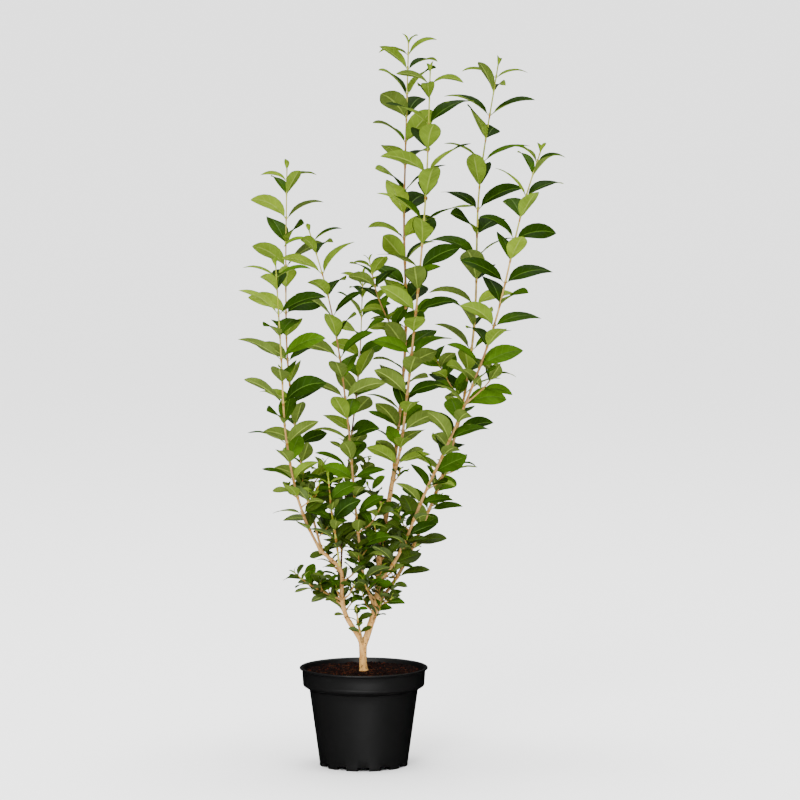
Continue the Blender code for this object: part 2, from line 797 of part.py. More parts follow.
def build_soil(finish):
    """The plug of compost, with a crumbly top and a level pad under the trunk."""
    dice = random.Random("compost")
    wall = [(radius - SOIL_CLEARANCE, height + SOIL_CLEARANCE) for radius, height in inner_wall()]
    rim = wall[-1][0]
    profile = [(0.0, wall[0][1]), *wall[:-1], (rim - 0.1, SOIL_LEVEL - SOIL_RIM_DROP)]
    profile += [(rim * share, SOIL_LEVEL - SOIL_BED_DROP) for share in SOIL_RINGS]
    profile += [(STEM_PAD_RADIUS, SOIL_LEVEL), (0.0, SOIL_LEVEL)]
    work, rings = lathe(profile, SOIL_SEGMENTS, 0.0)
    for circle in rings[len(wall):-1]:
        for vert in circle:
            vert.co.z += dice.uniform(-SOIL_ROUGHNESS, SOIL_ROUGHNESS) * MM
    return object_of("soil", work, finish)


# Trunk and boughs


def build_trunk(finish):
    """The trunk, from a flat cut on the compost with its flare up to the wide, flat-topped fork."""
    foot = SOIL_LEVEL + GAP
    levels = (
        (foot, FLARE_RADIUS, FLARE_RADIUS),
        (foot + 2.5, TRUNK_RADIUS + 0.9, TRUNK_RADIUS + 0.9),
        (foot + 8.0, TRUNK_RADIUS + 0.2, TRUNK_RADIUS + 0.2),
        (foot + 20.0, TRUNK_RADIUS, TRUNK_RADIUS),
        (FORK_HEIGHT - 12.0, TRUNK_RADIUS + 0.3, TRUNK_RADIUS),
        (FORK_HEIGHT - 5.0, FORK_HALF_WIDTH - 1.9, TRUNK_RADIUS + 0.1),
        (FORK_HEIGHT, FORK_HALF_WIDTH, FORK_HALF_DEPTH),
    )
    rings = []
    for height, half_width, half_depth in levels:
        circle = ring(Vector((0.0, 0.0, 0.0)), UP, 1.0, TRUNK_SIDES, Vector((1.0, 0.0, 0.0)))
        lean = -TRUNK_LEAN * min(1.0, (height - foot) / 10.0)
        rings.append([Vector((p.x * half_width + lean, p.y * half_depth, height)) * MM for p in circle])
    return new_object("trunk", *loft(rings), finish, smooth=True)


def level_foot(skin, sides, height):
    """Slide a limb's first ring along its second's direction onto a level plane."""
    points, faces = skin
    for i in range(sides):
        along = (points[i + sides] - points[i]).normalized()
        points[i] = points[i] + along * ((height * MM - points[i].z) / along.z)
    return points, faces


def build_limb(limb, finish):
    """One bough, cut level a gap above the trunk's top, and the stem that carries its measures."""
    stem = Stem(limb.path, limb.radius, LIMB_STEP, LIMB_SIDES)
    skin = level_foot(stem.skin(), LIMB_SIDES, FORK_HEIGHT + GAP)
    new_object(limb.name, *skin, finish, smooth=True)
    return stem, skin


def main():
    """Build the pot, the compost, the wood and then every mass of foliage."""
    for old in list(bpy.data.objects):
        bpy.data.objects.remove(old)
    plastic = material("black_plastic", (0.018, 0.018, 0.019), 0.45)
    compost = material("compost", (0.035, 0.014, 0.008), 0.95)
    bark = material("tan_bark", (0.52, 0.34, 0.19), 0.7)
    twig = material("green_twig", (0.42, 0.38, 0.12), 0.6)
    leaf = material("privet_leaf", (0.1, 0.2, 0.03), 0.45)

    build_pot(plastic)
    build_soil(compost)
    build_trunk(bark)
    heights = (SOIL_LEVEL + 3.0, FORK_HEIGHT - 20.0, FORK_HEIGHT + 2.0)
    axis = tuple((-TRUNK_LEAN, 0.0, height) for height in heights)
    fork = Stem(axis, (TRUNK_RADIUS, FORK_HALF_DEPTH), LIMB_STEP, LIMB_SIDES)
    limbs = {"trunk": fork}
    standing = [tree_of([fork.skin()])]
    for limb in LIMBS:
        stem, skin = build_limb(limb, bark)
        limbs[limb.name] = stem
        standing.append(tree_of([skin]))

    growths = [Growth(mass, limbs[mass.carrier]) for mass in MASSES]
    add_sprays(growths, limbs)
    for growth in growths:
        others = [other.tree() for other in growths if other is not growth]
        growth.add_twigs(standing + others)
    for growth in growths:
        others = [other.tree() for other in growths if other is not growth]
        growth.add_leaves(standing + others)
        fuse_mass(growth, twig, leaf)


if __name__ == "__main__":
    main()
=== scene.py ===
"""Looks of a potted privet: glossy paired leaves on long shoots, tan forked wood, compost, black pot.

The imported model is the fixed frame. Every shape is in metres, +Z up, with the front towards -Y.
"""

import logging
import math
import random
from collections.abc import Iterable, Iterator, Sequence
from dataclasses import dataclass, field
from enum import Enum
from typing import Any

import bpy
import numpy as np
from mathutils import Matrix, Vector, noise
from mathutils.bvhtree import BVHTree
from mathutils.kdtree import KDTree


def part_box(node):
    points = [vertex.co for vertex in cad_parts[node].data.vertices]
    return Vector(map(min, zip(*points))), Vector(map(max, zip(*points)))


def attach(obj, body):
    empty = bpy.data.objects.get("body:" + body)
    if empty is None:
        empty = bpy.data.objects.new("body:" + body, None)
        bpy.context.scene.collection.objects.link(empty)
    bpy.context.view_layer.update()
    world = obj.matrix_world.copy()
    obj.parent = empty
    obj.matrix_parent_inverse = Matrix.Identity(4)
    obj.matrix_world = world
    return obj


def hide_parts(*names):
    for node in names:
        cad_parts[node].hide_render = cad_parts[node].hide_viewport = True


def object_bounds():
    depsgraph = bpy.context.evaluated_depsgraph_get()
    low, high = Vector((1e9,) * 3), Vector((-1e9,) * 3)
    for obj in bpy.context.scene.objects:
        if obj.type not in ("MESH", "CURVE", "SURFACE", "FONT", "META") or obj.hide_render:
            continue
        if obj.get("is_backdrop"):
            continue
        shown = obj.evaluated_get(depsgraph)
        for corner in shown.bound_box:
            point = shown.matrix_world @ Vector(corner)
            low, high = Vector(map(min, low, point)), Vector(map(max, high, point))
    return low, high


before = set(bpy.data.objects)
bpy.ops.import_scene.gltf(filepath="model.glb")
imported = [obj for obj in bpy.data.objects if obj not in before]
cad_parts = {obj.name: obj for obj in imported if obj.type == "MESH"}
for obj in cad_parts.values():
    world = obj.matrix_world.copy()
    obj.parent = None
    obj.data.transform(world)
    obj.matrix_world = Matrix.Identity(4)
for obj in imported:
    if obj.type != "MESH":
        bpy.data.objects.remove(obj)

log = logging.getLogger("privet")

MM = 0.001
UP = Vector((0.0, 0.0, 1.0))
ROOT = "root"
Object = bpy.types.Object
Material = bpy.types.Material
Dice = random.Random
Trees = list[BVHTree]
Colour = tuple[float, float, float]
Point = tuple[float, float, float]
Path = tuple[Point, ...]
Span = tuple[float, float]
Pairs = tuple[Span, ...]
Outline = list[Span]
Shares = tuple[float, ...]
Tints = tuple[int, int, int, int]
Face = tuple[int, ...]
Skin = tuple[list[Vector], list[Face]]


def rgb(*shown: int) -> Colour:
    """The linear colour of the red, green and blue, 0 to 255, that a screen shows."""
    shares = (value / 255 for value in shown)
    return tuple(s / 12.92 if s <= 0.04045 else ((s + 0.055) / 1.055) ** 2.4 for s in shares)


def blend(ends: Sequence[float], share: float) -> float:
    """A value a share of the way between two ends."""
    return ends[0] + (ends[1] - ends[0]) * share


def clamp(value: float) -> float:
    """A value kept between 0 and 1."""
    return min(1.0, max(0.0, value))


def compass(turn: float) -> Vector:
    """The level direction at a turn from +X, in radians."""
    return Vector((math.cos(turn), math.sin(turn), 0.0))


# Shader maths


class Wire:
    """A node's output that takes part in Python expressions."""

    def __init__(self, shader: "Shader", socket: bpy.types.NodeSocket) -> None:
        """Wrap a socket."""
        self.shader = shader
        self.socket = socket

    def maths(self, operation: str, *values: Any) -> "Wire":
        """The output of a Math node on some values, in order."""
        made = self.shader.node("ShaderNodeMath", {"operation": operation}, dict(enumerate(values)))
        return made["Value"]

    def __add__(self, other: Any) -> "Wire":
        """The sum."""
        return self.maths("ADD", self, other)

    def __sub__(self, other: Any) -> "Wire":
        """The difference."""
        return self.maths("SUBTRACT", self, other)

    def __rsub__(self, other: Any) -> "Wire":
        """The difference, from the other side."""
        return self.maths("SUBTRACT", other, self)

    def __mul__(self, other: Any) -> "Wire":
        """The product."""
        return self.maths("MULTIPLY", self, other)

    def size(self) -> "Wire":
        """The value without its sign."""
        return self.maths("ABSOLUTE", self)

    def fraction(self) -> "Wire":
        """What is left of the value past a whole number."""
        return self.maths("FRACT", self)

    def between(self, low: float, high: float) -> "Wire":
        """A smooth climb from 0 at a low value to 1 at a high one."""
        ends = {"Value": self, "From Min": low, "From Max": high}
        return self.shader.node("ShaderNodeMapRange", {"interpolation_type": "SMOOTHSTEP"}, ends)["Result"]


class Node:
    """A node's outputs by name."""

    def __init__(self, shader: "Shader", node: bpy.types.Node) -> None:
        """Wrap a node."""
        self.shader = shader
        self.node = node

    def __getitem__(self, name: str) -> Wire:
        """The output of that name that is in use."""
        found = [out for out in self.node.outputs if out.name == name and out.enabled]
        return Wire(self.shader, found[0])


class Shader:
    """One material: a Principled shader and the nodes that feed it."""

    def __init__(self, name: str, **constants: float) -> None:
        """Start a material.

        Args:
            name: Its name.
            **constants: Values that are the same all over, by socket name with _ for a space.
        """
        self.material = bpy.data.materials.new(name)
        self.material.use_nodes = True
        self.tree = self.material.node_tree
        self.surface = self.tree.nodes["Principled BSDF"]
        for socket, value in constants.items():
            self.surface.inputs[socket.replace("_", " ")].default_value = value

    def plug(self, socket: bpy.types.NodeSocket, value: Any) -> None:
        """Link a wire to an input, or set a value on it.

        Args:
            socket: The input.
            value: A wire, a colour or a number.
        """
        if isinstance(value, Wire):
            self.tree.links.new(value.socket, socket)
        elif isinstance(value, tuple) and socket.type == "RGBA":
            socket.default_value = (*value, 1.0)
        else:
            socket.default_value = value

    def node(self, kind: str, settings: dict[str, Any], inputs: dict[Any, Any]) -> Node:
        """Add a node, set it up, then fill its inputs.

        Args:
            kind: The node's type.
            settings: Its own settings, which come first.
            inputs: Values or wires by the input's name or number.

        Returns:
            The node's outputs.
        """
        made = self.tree.nodes.new(kind)
        for key, value in settings.items():
            setattr(made, key, value)
        for key, value in inputs.items():
            if isinstance(key, int):
                socket = made.inputs[key]
            else:
                socket = next(s for s in made.inputs if s.name == key and s.enabled)
            self.plug(socket, value)
        return Node(self, made)

    def place(self, stretch: Point = (1.0, 1.0, 1.0)) -> Wire:
        """Object coordinates.

        Args:
            stretch: A factor along each axis.

        Returns:
            The coordinates.
        """
        here = self.node("ShaderNodeTexCoord", {}, {})["Object"]
        if stretch == (1.0, 1.0, 1.0):
            return here
        return self.node("ShaderNodeMapping", {}, {"Vector": here, "Scale": stretch})["Vector"]

    def cloud(self, scale: float, detail: float = 3.0, stretch: Point = (1.0, 1.0, 1.0)) -> Wire:
        """Soft noise, about 0 to 1: patches in a metre, octaves of finer noise, closeness by axis."""
        inputs = {"Vector": self.place(stretch), "Scale": scale, "Detail": detail}
        return self.node("ShaderNodeTexNoise", {}, inputs)["Fac"]

    def mix(self, share: Any, first: Any, second: Any) -> Wire:
        """A colour between two colours or wires, the first at a share of 0, the second at 1."""
        inputs = {"Factor": share, "A": first, "B": second}
        return self.node("ShaderNodeMix", {"data_type": "RGBA"}, inputs)["Result"]

    def mottled(self, colour: Colour, dark: float, share: Wire) -> Wire:
        """A colour where the share is 1, and so many times as bright where it is 0."""
        return self.mix(share, tuple(value * dark for value in colour), colour)

    def finish(self, colour: Any, roughness: Any, height: Any = None, depth: float = 0.0) -> Material:
        """Fill the surface's colour, roughness and relief.

        Args:
            colour: The base colour.
            roughness: The roughness.
            height: The height that bumps the surface, if any.
            depth: How far a height of 1 stands out, in metres.

        Returns:
            The finished material.
        """
        self.plug(self.surface.inputs["Base Color"], colour)
        self.plug(self.surface.inputs["Roughness"], roughness)
        if height is not None:
            bump = self.node("ShaderNodeBump", {}, {"Height": height, "Distance": depth, "Strength": 1.0})
            self.plug(self.surface.inputs["Normal"], bump["Normal"])
        return self.material


# Finishes


@dataclass(frozen=True)
class BladeFinish:
    """One side of a leaf blade, in one tint: how light its veins are, how far they stand out in metres."""

    name: str
    colour: Colour
    roughness: float
    vein: float
    relief: float
    gloss: float = 0.035

    VEINS = 7.0
    SLANT = 1.15
    VEIN_EDGE = (0.02, 0.11)
    MARGIN = (0.7, 1.0)
    PATCHES = 48.0
    EDGES = (0.3, 0.75)
    DARKER = 0.72
    LIGHTER = 1.25
    FILM = 0.012
    UNEVEN = 0.16

    def dress(self) -> Material:
        """Dress one side of a blade, with side veins that run forward from the midrib to the edge.

        Returns:
            The material.
        """
        shader = Shader(self.name, Specular_IOR_Level=self.gloss)
        flat = shader.node("ShaderNodeUVMap", {"uv_map": "leaf"}, {})["UV"]
        across = shader.node("ShaderNodeSeparateXYZ", {}, {"Vector": flat})
        side = (across["X"] - 0.5).size() * 2.0
        wave = ((across["Y"] - side * (self.SLANT / self.VEINS)) * self.VEINS).fraction() - 0.5
        vein = (1.0 - wave.size().between(*self.VEIN_EDGE)) * (1.0 - side.between(*self.MARGIN))
        mottle = shader.cloud(self.PATCHES, 1.0)
        lighter = tuple(min(1.0, value * self.LIGHTER + self.FILM) for value in self.colour)
        ground = shader.mottled(self.colour, self.DARKER, mottle.between(*self.EDGES))
        colour = shader.mix(vein * self.vein, ground, lighter)
        rough = (mottle - 0.5) * self.UNEVEN + self.roughness
        return shader.finish(colour, rough, vein, self.relief)


@dataclass(frozen=True)
class PlainFinish:
    """A midrib, bud or green twig, in one tint: how dark its patches are, and how many in a metre."""

    name: str
    colour: Colour
    roughness: float
    change: float = 0.25
    patch: float = 300.0
    relief: float = 0.0001

    GLOSS = 0.15
    GRAIN = (1.0, 1.0, 0.35)
    EDGES = (0.3, 0.7)
    UNEVEN = 0.15

    def dress(self) -> Material:
        """Dress a small part, mottled and faintly grained along its length.

        Returns:
            The material.
        """
        shader = Shader(self.name, Specular_IOR_Level=self.GLOSS)
        mottle = shader.cloud(self.patch, 4.0, self.GRAIN)
        colour = shader.mottled(self.colour, 1.0 - self.change, mottle.between(*self.EDGES))
        rough = (mottle - 0.5) * self.UNEVEN + self.roughness
        return shader.finish(colour, rough, mottle, self.relief)


@dataclass(frozen=True)
class BarkFinish:
    """Smooth young bark: tan, with paler film, darker streaks, dark lenticels and painted shade in the crown.
    """

    tan: Colour = rgb(212, 162, 90)
    brown: Colour = rgb(176, 122, 66)
    film: Colour = rgb(228, 188, 122)
    # upper is painted shade: a darker copy of the tan, laid on the boughs where they run up into the crown
    upper: Colour = rgb(154, 116, 66)
    lenticel: Colour = rgb(84, 50, 30)
    roughness: float = 0.62
    gloss: float = 0.15
    streaks: tuple[float, Point] = (420.0, (1.0, 1.0, 0.22))
    patches: float = 70.0
    streak_edges: Span = (0.42, 0.68)
    film_edges: Span = (0.5, 0.75)
    film_share: float = 0.6
    crown_shade_from: Span = (0.19, 0.25)
    crown_shade_waver: float = 0.03
    crown_shade_share: float = 0.75
    mark_edges: Span = (0.15, 0.6)
    unevenness: float = 0.3
    relief: float = 0.00022

    def dress(self) -> Material:
        """Dress the bark, whose lenticels and scars follow the mesh's own attribute.

        Returns:
            The material.
        """
        shader = Shader("tan_bark", Specular_IOR_Level=self.gloss)
        streak = shader.cloud(self.streaks[0], 5.0, self.streaks[1])
        patch = shader.cloud(self.patches)
        ground = shader.mix(streak.between(*self.streak_edges), self.tan, self.brown)
        ground = shader.mix(patch.between(*self.film_edges) * self.film_share, ground, self.film)
        height = shader.node("ShaderNodeSeparateXYZ", {}, {"Vector": shader.place()})["Z"]
        # Painted shade: from about 0.19 m up, with a wavering edge, the bark turns to the darker upper tone
        up = (height + patch * self.crown_shade_waver).between(*self.crown_shade_from)
        ground = shader.mix(up * self.crown_shade_share, ground, self.upper)
        marks = shader.node("ShaderNodeAttribute", {"attribute_name": "lenticel"}, {})["Fac"]
        colour = shader.mix(marks.between(*self.mark_edges), ground, self.lenticel)
        rough = (streak - 0.5) * self.unevenness + self.roughness
        return shader.finish(colour, rough, streak + patch * 0.5, self.relief)


@dataclass(frozen=True)
class PlasticFinish:
    """Moulded black plastic with a soft sheen, faint scuffs and a little dust."""

    black: Colour = rgb(11, 11, 11)
    dust: Colour = rgb(26, 25, 24)
    roughness: float = 0.5
    gloss: float = 0.4
    pebbles: float = 1300.0
    scuffs: tuple[float, Point] = (55.0, (1.0, 1.0, 3.2))
    clouds: float = 26.0
    unevenness: float = 0.16
    dust_edges: Span = (0.62, 0.86)
    dust_share: float = 0.35
    scuff_edges: Span = (0.6, 0.8)
    scuff_roughness: float = 0.12
    pebble_height: float = 0.35
    relief: float = 0.00012

    def dress(self) -> Material:
        """Dress the pot, pebbled, with level scuffs that hold the dust.

        Returns:
            The material.
        """
        shader = Shader("black_plastic", Specular_IOR_Level=self.gloss)
        pebble = shader.cloud(self.pebbles, 2.0)
        scuff = shader.cloud(self.scuffs[0], 6.0, self.scuffs[1])
        cloudy = shader.cloud(self.clouds)
        colour = shader.mix(scuff.between(*self.dust_edges) * self.dust_share, self.black, self.dust)
        rough = (cloudy - 0.5) * self.unevenness + self.roughness
        rough = rough + scuff.between(*self.scuff_edges) * self.scuff_roughness
        return shader.finish(colour, rough, pebble * self.pebble_height + cloudy * 2.0, self.relief)


@dataclass(frozen=True)
class CompostFinish:
    """Moist peaty compost in one tint, rough all over, with painted shade between its grains."""

    name: str
    colour: Colour

    GLOSS = 0.1
    GRAINS = 520.0
    EDGES = (0.35, 0.68)
    UNEVEN = 0.15
    # DARKER here is how deep the painted shade between the grains is
    DARKER = 0.35
    ROUGHNESS = 0.8
    RELIEF = 0.0009

    def dress(self) -> Material:
        """Dress the compost, with painted shade in the hollows between its grains.

        Returns:
            The material.
        """
        shader = Shader(self.name, Specular_IOR_Level=self.GLOSS)
        grain = shader.cloud(self.GRAINS, 6.0)
        # Painted shade: the colour falls to 0.35 of the tint where the grain, which is also the bump's
        # height, is low
        colour = shader.mottled(self.colour, self.DARKER, grain.between(*self.EDGES))
        return shader.finish(colour, grain * self.UNEVEN + self.ROUGHNESS, grain, self.RELIEF)


@dataclass(frozen=True)
class FloorFinish:
    """A plain pale studio floor."""

    colour: Colour = (0.86, 0.86, 0.86)
    roughness: float = 0.9

    def dress(self) -> Material:
        """The material."""
        return Shader("pale_floor").finish(self.colour, self.roughness)


# Meshes from arrays


@dataclass
class Heap:
    """Many small shapes, joined as they come."""

    points: list[Vector] = field(default_factory=list)
    faces: list[Face] = field(default_factory=list)
    finishes: list[int] = field(default_factory=list)
    places: Outline = field(default_factory=list)

    def add(self, points: Sequence[Vector], faces: Sequence[Face], finishes: Iterable[int],
            places: Sequence[Span] | None = None) -> None:
        """Add one shape.

        Args:
            points: Its points.
            faces: Its faces by its own point numbers.
            finishes: Each face's finish.
            places: Each point's place on the leaf map.
        """
        offset = len(self.points)
        self.points.extend(points)
        self.faces.extend(tuple(index + offset for index in face) for face in faces)
        self.finishes.extend(finishes)
        self.places.extend(places or [(0.5, 0.5)] * len(points))

    def add_loft(self, rings: Sequence[Sequence[Vector]], finish: int) -> None:
        """Add a closed skin over some rings, all in one finish."""
        points, faces = loft(rings)
        self.add(points, faces, [finish] * len(faces))

    def to_object(self, name: str, materials: Sequence[Material], crease: float) -> Object:
        """The heap as one smooth-shaded object.

        Args:
            name: The object's name.
            materials: The finishes in order.
            crease: The angle in degrees past which an edge stays sharp.

        Returns:
            The object.
        """
        mesh = bpy.data.meshes.new(name)
        mesh.from_pydata([tuple(point) for point in self.points], [], self.faces)
        for material in materials:
            mesh.materials.append(material)
        mesh.polygons.foreach_set("material_index", np.array(self.finishes, np.int32))
        corners = np.zeros(len(mesh.loops), np.int32)
        mesh.loops.foreach_get("vertex_index", corners)
        places = np.array(self.places, np.float32)[corners]
        mesh.uv_layers.new(name="leaf").data.foreach_set("uv", places.ravel())
        mesh.shade_smooth()
        mesh.set_sharp_from_angle(angle=math.radians(crease))
        made = bpy.data.objects.new(name, mesh)
        bpy.context.scene.collection.objects.link(made)
        return made


def loft(rings: Sequence[Sequence[Vector]]) -> Skin:
    """A closed skin over rings of equal count, with flat end caps.

    Args:
        rings: The rings in order, each turning the same way.

    Returns:
        The points and the outward faces: the foot's cap, then the sides, then the tip's cap.
    """
    count = len(rings[0])
    points = [point for ring_points in rings for point in ring_points]
    faces = [tuple(reversed(range(count)))]
    for start in range(0, len(points) - count, count):
        for i in range(count):
            j = (i + 1) % count
            faces.append((start + i, start + j, start + count + j, start + count + i))
    faces.append(tuple(range(len(points) - count, len(points))))
    return points, faces


def squared(direction: Vector, tangent: Vector) -> Vector:
    """A direction set square to a tangent."""
    return (direction - tangent * direction.dot(tangent)).normalized()


def side_axis(tangent: Vector) -> Vector:
    """A fixed direction across a tangent."""
    return squared(Vector((1.0, 0.0, 0.0) if abs(tangent.x) < 0.8 else (0.0, 1.0, 0.0)), tangent)


def ring(centre: Vector, tangent: Vector, radius: float, sides: int, across: Vector) -> list[Vector]:
    """Points round a centre, square to a tangent, the first one in the direction across."""
    other = tangent.cross(across)
    turns = [2 * math.pi * i / sides for i in range(sides)]
    return [centre + (across * math.cos(turn) + other * math.sin(turn)) * radius for turn in turns]


def axis_at(tangent: Vector, turn: float) -> Vector:
    """A direction across a tangent, turned round it by some degrees."""
    return Matrix.Rotation(math.radians(turn), 3, tangent) @ side_axis(tangent)


def tree_of(skins: Iterable[Skin]) -> BVHTree:
    """A search tree over faces.

    Args:
        skins: The skins that hold them.

    Returns:
        The tree.
    """
    heap = Heap()
    for points, faces in skins:
        heap.add(points, faces, ())
    return BVHTree.FromPolygons(heap.points, heap.faces)


def touches(skin: Skin, others: Iterable[BVHTree]) -> bool:
    """Whether a skin touches the faces of any search tree."""
    tree = tree_of([skin])
    return any(tree.overlap(other) for other in others)


# The plant's rule: stems, leaves and how they keep clear of each other


GAP = 0.3
FOOT_SKIP = 2.0
FOOT_TRY = 0.1
RIM_POINTS = 8
STEM_STEP = 34.0
TWIG_STEP = 18.0
LIMB_STEP = 14.0
LIMB_SIDES = 8
STEM_SIDES = 4
TWIG_SIDES = 3


def slope(before: Vector, here: Vector, after: Vector) -> Vector:
    """The direction of a smooth curve at a point, weighted towards its nearer neighbour.

    Args:
        before: The point before it.
        here: The point.
        after: The point after it.

    Returns:
        The direction.
    """
    back = here - before
    ahead = after - here
    return (back * (ahead.length / back.length) + ahead * (back.length / ahead.length)) / (
        back.length + ahead.length)


def bridge(knots: Sequence[Vector], share: float) -> Vector:
    """A point on the smooth curve between the middle two of four knots.

    Args:
        knots: Four knots in order.
        share: How far from the second knot to the third.

    Returns:
        The point.
    """
    before, start, end, after = knots
    span = (end - start).length
    leaving = slope(before, start, end) * span
    arriving = slope(start, end, after) * span
    t = share
    return (start * (2 * t**3 - 3 * t**2 + 1) + leaving * (t**3 - 2 * t**2 + t)
            + end * (3 * t**2 - 2 * t**3) + arriving * (t**3 - t**2))


def with_ends(knots: Sequence[Vector]) -> list[Vector]:
    """The knots with one more mirrored past each end."""
    return [knots[0] * 2 - knots[1], *knots, knots[-1] * 2 - knots[-2]]


def smooth_path(path: Sequence[Point], step: float) -> list[Vector]:
    """Points in metres on a smooth curve through given points.

    Args:
        path: The given points, in mm.
        step: About how far apart the new points stand, in mm.

    Returns:
        The new points, from the first given point to the last.
    """
    knots = with_ends([Vector(point) * MM for point in path])
    found = []
    for i in range(len(knots) - 3):
        count = max(1, round((knots[i + 2] - knots[i + 1]).length / (step * MM)))
        found += [bridge(knots[i:i + 4], k / count) for k in range(count)]
    found.append(knots[-2])
    return found


class Stem:
    """A tapering stem: its centre line, its radii, and where on it anything stands."""

    def __init__(self, path: Sequence[Point], radius: Span, step: float, sides: int) -> None:
        """Set a stem along given points.

        Args:
            path: The points, in mm.
            radius: Its radius at the foot and at the tip, in mm.
            step: The distance between its points, in mm.
            sides: How many sides its plain skin has.
        """
        self.path = smooth_path(path, step)
        self.foot_radius = radius[0] * MM
        self.tip_radius = radius[1] * MM
        self.sides = sides
        self.measure()

    def measure(self) -> None:
        """Work out tangents and distances again after the path changes."""
        ends = [self.path[0], *self.path, self.path[-1]]
        self.tangents = [(after - before).normalized() for before, after in zip(ends, ends[2:])]
        self.distances = [0.0]
        for before, after in zip(self.path, self.path[1:]):
            self.distances.append(self.distances[-1] + (after - before).length)
        self.length = self.distances[-1]

    def span(self, distance: float) -> tuple[int, float]:
        """Find the stretch between two of the stem's points that holds a distance.

        Args:
            distance: The distance from the foot.

        Returns:
            The stretch's number and the share along it.
        """
        for i in range(len(self.path) - 1):
            if distance <= self.distances[i + 1]:
                break
        return i, (distance - self.distances[i]) / (self.distances[i + 1] - self.distances[i])

    def radius(self, distance: float) -> float:
        """The radius at a distance from the foot."""
        return blend((self.foot_radius, self.tip_radius), distance / self.length)

    def at(self, distance: float) -> tuple[Vector, Vector, float]:
        """Look up the stem at a distance from its foot.

        Args:
            distance: The distance, kept to the stem's own length.

        Returns:
            The point, tangent and radius there.
        """
        distance = min(max(distance, 0.0), self.length)
        i, share = self.span(distance)
        point = self.path[i].lerp(self.path[i + 1], share)
        tangent = self.tangents[i].lerp(self.tangents[i + 1], share).normalized()
        return point, tangent, self.radius(distance)

    def smooth_at(self, distance: float) -> Vector:
        """The point at a distance from the foot on a smooth curve through the stem's points."""
        i, share = self.span(min(max(distance, 0.0), self.length))
        return bridge(with_ends(self.path)[i:i + 4], share)

    def clearance(self, point: Vector) -> float:
        """How far a point is outside the stem's skin.

        Args:
            point: The point.

        Returns:
            The distance, below 0 inside.
        """
        best = math.inf
        for i in range(len(self.path) - 1):
            start = self.path[i]
            along = self.path[i + 1] - start
            share = clamp((point - start).dot(along) / along.length_squared)
            radius = self.radius(self.distances[i] + share * along.length)
            best = min(best, (point - start - along * share).length - radius)
        return best

    def stand_on_tip(self, carrier: "Stem") -> None:
        """Start a gap above the carrier's flat tip, square to it."""
        self.path[0] = carrier.path[-1] + carrier.tangents[-1] * GAP * MM
        self.measure()
        self.tangents[0] = carrier.tangents[-1]

    def stand_clear(self, carrier: "Stem") -> None:
        """Start where the foot's whole rim is a gap clear of the carrier.

        Args:
            carrier: The stem that this one grows from.
        """
        distance = 0.0
        while distance < self.length / 2:
            point, tangent, radius = self.at(distance)
            rim = ring(point, tangent, radius, RIM_POINTS, side_axis(tangent))
            if min(carrier.clearance(p) for p in rim) >= GAP * MM:
                break
            distance += FOOT_TRY * MM
        kept = [p for p, d in zip(self.path, self.distances) if d > distance + FOOT_SKIP * MM]
        self.path = [self.at(distance)[0], *kept]
        self.measure()

    def skin(self, swell: float = 0.0) -> Skin:
        """The stem's plain closed skin.

        Args:
            swell: How far the skin is swollen, for a test of clearance.

        Returns:
            The points and faces.
        """
        rings = []
        across = side_axis(self.tangents[0])
        for point, tangent, distance in zip(self.path, self.tangents, self.distances):
            across = squared(across, tangent)
            rings.append(ring(point, tangent, self.at(distance)[2] + swell, self.sides, across))
        return loft(rings)


class Tone(Enum):
    """How a shoot's young bark is coloured, from the tip down."""

    GREEN = ("shoot_green", "shoot_lime", "shoot_straw", "shoot_tan")
    LIME = ("shoot_green", "shoot_green", "shoot_green", "shoot_lime")
    ROSY = ("shoot_lime", "shoot_rosy", "shoot_rosy", "shoot_tan")
    TAN = ("shoot_lime", "shoot_straw", "shoot_rosy", "shoot_tan")
    DARK = ("shoot_lime", "shoot_rosy", "shoot_umber", "shoot_umber")


class Side(Enum):
    """The part of the crown that a mass is joined into."""

    RIGHT = "right"
    MIDDLE = "middle"
    LEFT = "left"
    LOW = "low"


class Start(Enum):
    """Where on its carrier a stem begins."""

    TIP = "tip"
    SIDE = "side"


@dataclass(frozen=True)
class Limb:
    """One tapering limb of bare wood, along a few given points in millimetres."""

    name: str
    path: Path
    radius: Span


@dataclass(frozen=True)
class Branch:
    """A stem that leaves a mass's own main stem."""

    path: Path
    radius: Span
    turn: float = 0.0


@dataclass(frozen=True)
class Mass:
    """One mass of foliage: a main stem, how closely its leaf pairs stand, and their lengths in mm.

    Its looks are the part of the crown it is joined into, the tone of its bark, and the share of its
    leaves that turn their upper side to the front. A mass that has no solid is finer growth.
    """

    name: str
    carrier: str
    start: Start
    path: Path
    radius: Span
    internode: float
    leaf: Span
    turn: float = 0.0
    bare: float = 14.0
    twigs: int = 0
    branches: tuple[Branch, ...] = ()
    side: Side = Side.LOW
    tone: Tone = Tone.TAN
    show: float = 0.7
    solid: bool = True


FORK = (((-1.0, 0, 130), (-1.0, 0, 150), (-1.0, 0, 172)), (5.0, 5.4))
LIMBS = (
    Limb("bough_left",
         ((-5.5, 0, 170.3), (-14, -1, 184), (-24, -3, 202), (-29, -6, 226), (-32, -11, 266),
          (-41, -14, 276), (-57, -20, 290)),
         (3.6, 2.2)),
    Limb("bough_right",
         ((3.4, 0, 170.3), (8, 2, 185), (14, 3, 203), (18, 4, 220), (19.5, 8, 253), (22, 11, 290),
          (31, 14, 338), (39, 16, 383)),
         (4.7, 3.0)),
)

